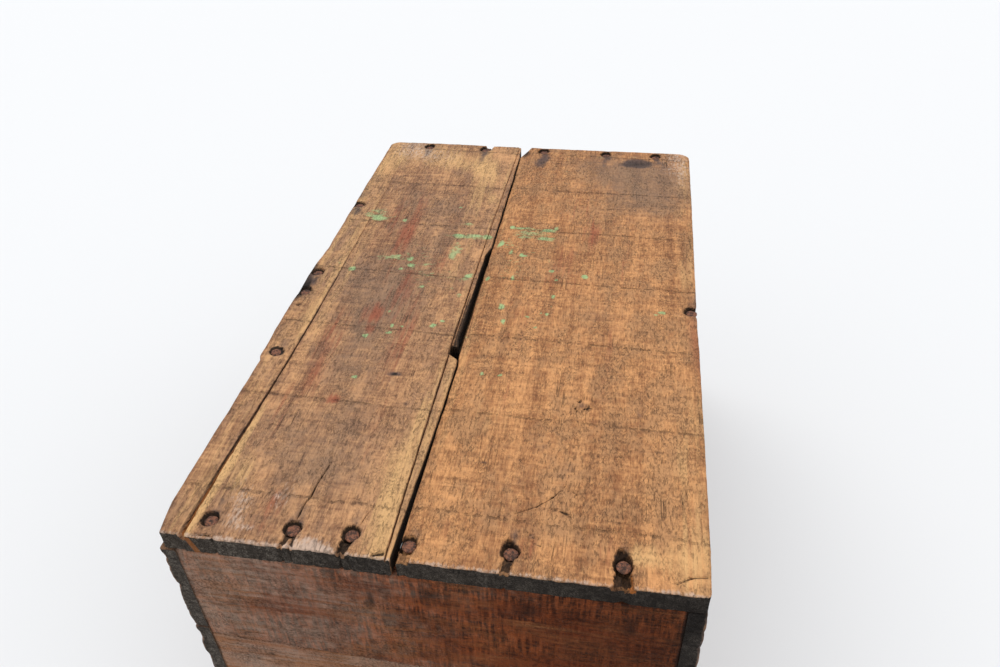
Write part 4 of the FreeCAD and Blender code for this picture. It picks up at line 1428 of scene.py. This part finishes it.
def forge_nail(points, faces, head, way, seed):
    """Adds one nail: the top of its head at head, its shank running back along way."""
    turn = Vector(way).normalized().to_track_quat("Z", "Y").to_matrix()
    bearings = np.arange(NAIL_SIDES) * 2 * np.pi / NAIL_SIDES
    east, north = np.cos(bearings), np.sin(bearings)
    top = len(points)
    points.append(Vector(head) + turn @ Vector((0, 0, CROWN - 0.15 * scatter(seed, 1, 2))) * MM)
    for height, radius, rough in NAIL_RINGS:
        ragged = radius * (1 + rough * 0.22 * lumps(bearings * 2.2, 0 * bearings + 3.0 * seed, 1, 1, seed, 2))
        ragged = np.minimum(ragged, HEAD_RADIUS)
        bumps = height + rough * 0.9 * lumps(east * radius, north * radius, 1.6, 1.6, seed, 2)
        for spot in zip(east * ragged, north * ragged, np.minimum(bumps, CROWN)):
            points.append(Vector(head) + turn @ Vector(spot) * MM)
    first = top + 1
    for s in range(NAIL_SIDES):
        faces.append((top, first + s, first + (s + 1) % NAIL_SIDES))
        for r in range(len(NAIL_RINGS) - 1):
            upper, lower = first + r * NAIL_SIDES, first + (r + 1) * NAIL_SIDES
            faces.append((upper + s, lower + s, lower + (s + 1) % NAIL_SIDES, upper + (s + 1) % NAIL_SIDES))
    tip = len(points)
    points.append(Vector(head) + turn @ Vector((0, 0, -NAIL_LENGTH)) * MM)
    last = first + (len(NAIL_RINGS) - 1) * NAIL_SIDES
    faces.extend((last + s, tip, last + (s + 1) % NAIL_SIDES) for s in range(NAIL_SIDES))


def nail_group(node, nails, seed):
    """One piece for a group of nails, given as (head, way) pairs."""
    points, faces = [], []
    for i, (head, way) in enumerate(nails):
        forge_nail(points, faces, head, way, seed + i)
    mesh = bpy.data.meshes.new(f"{node}_iron")
    mesh.from_pydata([tuple(p) for p in points], [], faces)
    mesh.polygons.foreach_set("use_smooth", [True] * len(mesh.polygons))
    mesh.set_sharp_from_angle(angle=math.radians(50))
    mesh.materials.append(iron)
    thing = bpy.data.objects.new(f"{node}_iron", mesh)
    bpy.context.scene.collection.objects.link(thing)
    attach(thing, ROOT)
    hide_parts(node)


def through_bottom(nails, sink=HEAD_SINK):
    heads = [(cad_low.x + a * MM, cad_low.y + l * MM, cad_high.z - sink * MM) for a, l in nails]
    return [(head, Z) for head in heads]


LEAN = math.radians(12)
LEANING_SINK = 1.0
left_nails, right_nails = LeftBottomBoard.nails, RightBottomBoard.nails
nail_group("bottom_left_near_nails", through_bottom(left_nails[:3]), 40)
nail_group("bottom_left_far_nails", through_bottom(left_nails[3:]), 45)
nail_group("bottom_right_near_nails", through_bottom(right_nails[:3]), 50)
nail_group("bottom_right_far_nails", through_bottom(right_nails[3:]), 55)
upright, leaning = LeftBottomBoard.edge_nails[:3], LeftBottomBoard.edge_nails[3:]
leaning = [(head, (math.sin(LEAN), 0, math.cos(LEAN))) for head, _ in through_bottom(leaning, LEANING_SINK)]
nail_group("bottom_left_edge_nails", through_bottom(upright) + leaning, 60)
nail_group("bottom_right_edge_nail", through_bottom(RightBottomBoard.edge_nails), 65)
left_face_x, right_face_x = cad_low.x + SIDE_HEAD_SINK * MM, cad_high.x - SIDE_HEAD_SINK * MM
near_row_y, far_row_y = cad_low.y + SIDE_NEAR_INSET * MM, cad_high.y - SIDE_FAR_INSET * MM
for side, face, way in (("left", left_face_x, (-1, 0, 0)), ("right", right_face_x, X)):
    for end, along in (("near", near_row_y), ("far", far_row_y)):
        nails = [((face, along, cad_low.z + height * MM), way) for height in SIDE_NAIL_HEIGHTS]
        nail_group(f"{side}_side_{end}_nails", nails, 70 + len(side) + 3 * len(end))


# ---------------------------------------------------------------- studio

def studio_floor():
    """A wide sheet of pale paper, a hair under the crate."""
    half = 12.0
    mesh = bpy.data.meshes.new("studio_floor")
    corners = [(-half, -half), (half, -half), (half, half), (-half, half)]
    mesh.from_pydata([(x, y, cad_low.z - 0.3 * MM) for x, y in corners], [], [(0, 1, 2, 3)])
    floor = bpy.data.objects.new("studio_floor", mesh)
    bpy.context.scene.collection.objects.link(floor)
    material, _, shader = new_material("pale_paper")
    shader.inputs["Base Color"].default_value = (0.535, 0.535, 0.535, 1.0)
    shader.inputs["Emission Color"].default_value = (0.97, 0.98, 1.0, 1.0)
    shader.inputs["Emission Strength"].default_value = 0.24
    shader.inputs["Roughness"].default_value = 0.9
    shader.inputs["Specular IOR Level"].default_value = 0.1
    mesh.materials.append(material)


def soft_sun(name, source, spread, strength, colour):
    """Even light from the direction of source, as soft as a window spread degrees wide."""
    lamp = bpy.data.lights.new(name, "SUN")
    lamp.energy = strength
    lamp.angle = math.radians(spread)
    lamp.color = colour
    thing = bpy.data.objects.new(name, lamp)
    thing.rotation_euler = Vector(source).to_track_quat("Z", "Y").to_euler()
    bpy.context.scene.collection.objects.link(thing)


studio_floor()
soft_sun("window_light", (-0.5, 0.55, 0.95), 40, 1.02, (1.0, 0.985, 0.96))
soft_sun("right_fill", (0.8, 0.1, 0.9), 90, 0.92, (1.0, 0.995, 0.985))
soft_sun("left_fill", (-0.8, -0.6, 0.5), 60, 0.25, (1.0, 1.0, 1.0))


def pale_room():
    """Light from all round, with a wall behind as bright as the floor."""
    world = bpy.data.worlds.new("pale_room")
    world.use_nodes = True
    tree = world.node_tree
    light = tree.nodes["Background"]
    light.inputs["Color"].default_value = (0.93, 0.96, 1.0, 1.0)
    light.inputs["Strength"].default_value = 0.9
    wall = tree.nodes.new("ShaderNodeBackground")
    wall.inputs["Color"].default_value = (0.906, 0.926, 0.945, 1.0)
    seen = tree.nodes.new("ShaderNodeLightPath")
    choice = tree.nodes.new("ShaderNodeMixShader")
    tree.links.new(seen.outputs["Is Camera Ray"], choice.inputs[0])
    tree.links.new(light.outputs[0], choice.inputs[1])
    tree.links.new(wall.outputs[0], choice.inputs[2])
    tree.links.new(choice.outputs[0], tree.nodes["World Output"].inputs["Surface"])
    bpy.context.scene.world = world


pale_room()
bpy.context.scene.view_settings.view_transform = "Standard"

# The camera looks down on the near end from a little right of the middle.
EYE = (0.0916, -0.4948, 0.6309)
TURN_LEFT = math.radians(10.19)
LOOK_DOWN = math.radians(38.02)
ROLL = math.radians(-1.90)
lens = bpy.data.cameras.new("camera")
lens.lens = 29.0
lens.sensor_width = 36.0
lens.clip_start = 0.01
camera = bpy.data.objects.new("camera", lens)
turn = Matrix.Rotation(TURN_LEFT, 4, "Z") @ Matrix.Rotation(math.radians(90) - LOOK_DOWN, 4, "X")
camera.matrix_world = Matrix.Translation(EYE) @ turn @ Matrix.Rotation(ROLL, 4, "Z")
bpy.context.scene.collection.objects.link(camera)
bpy.context.scene.camera = camera
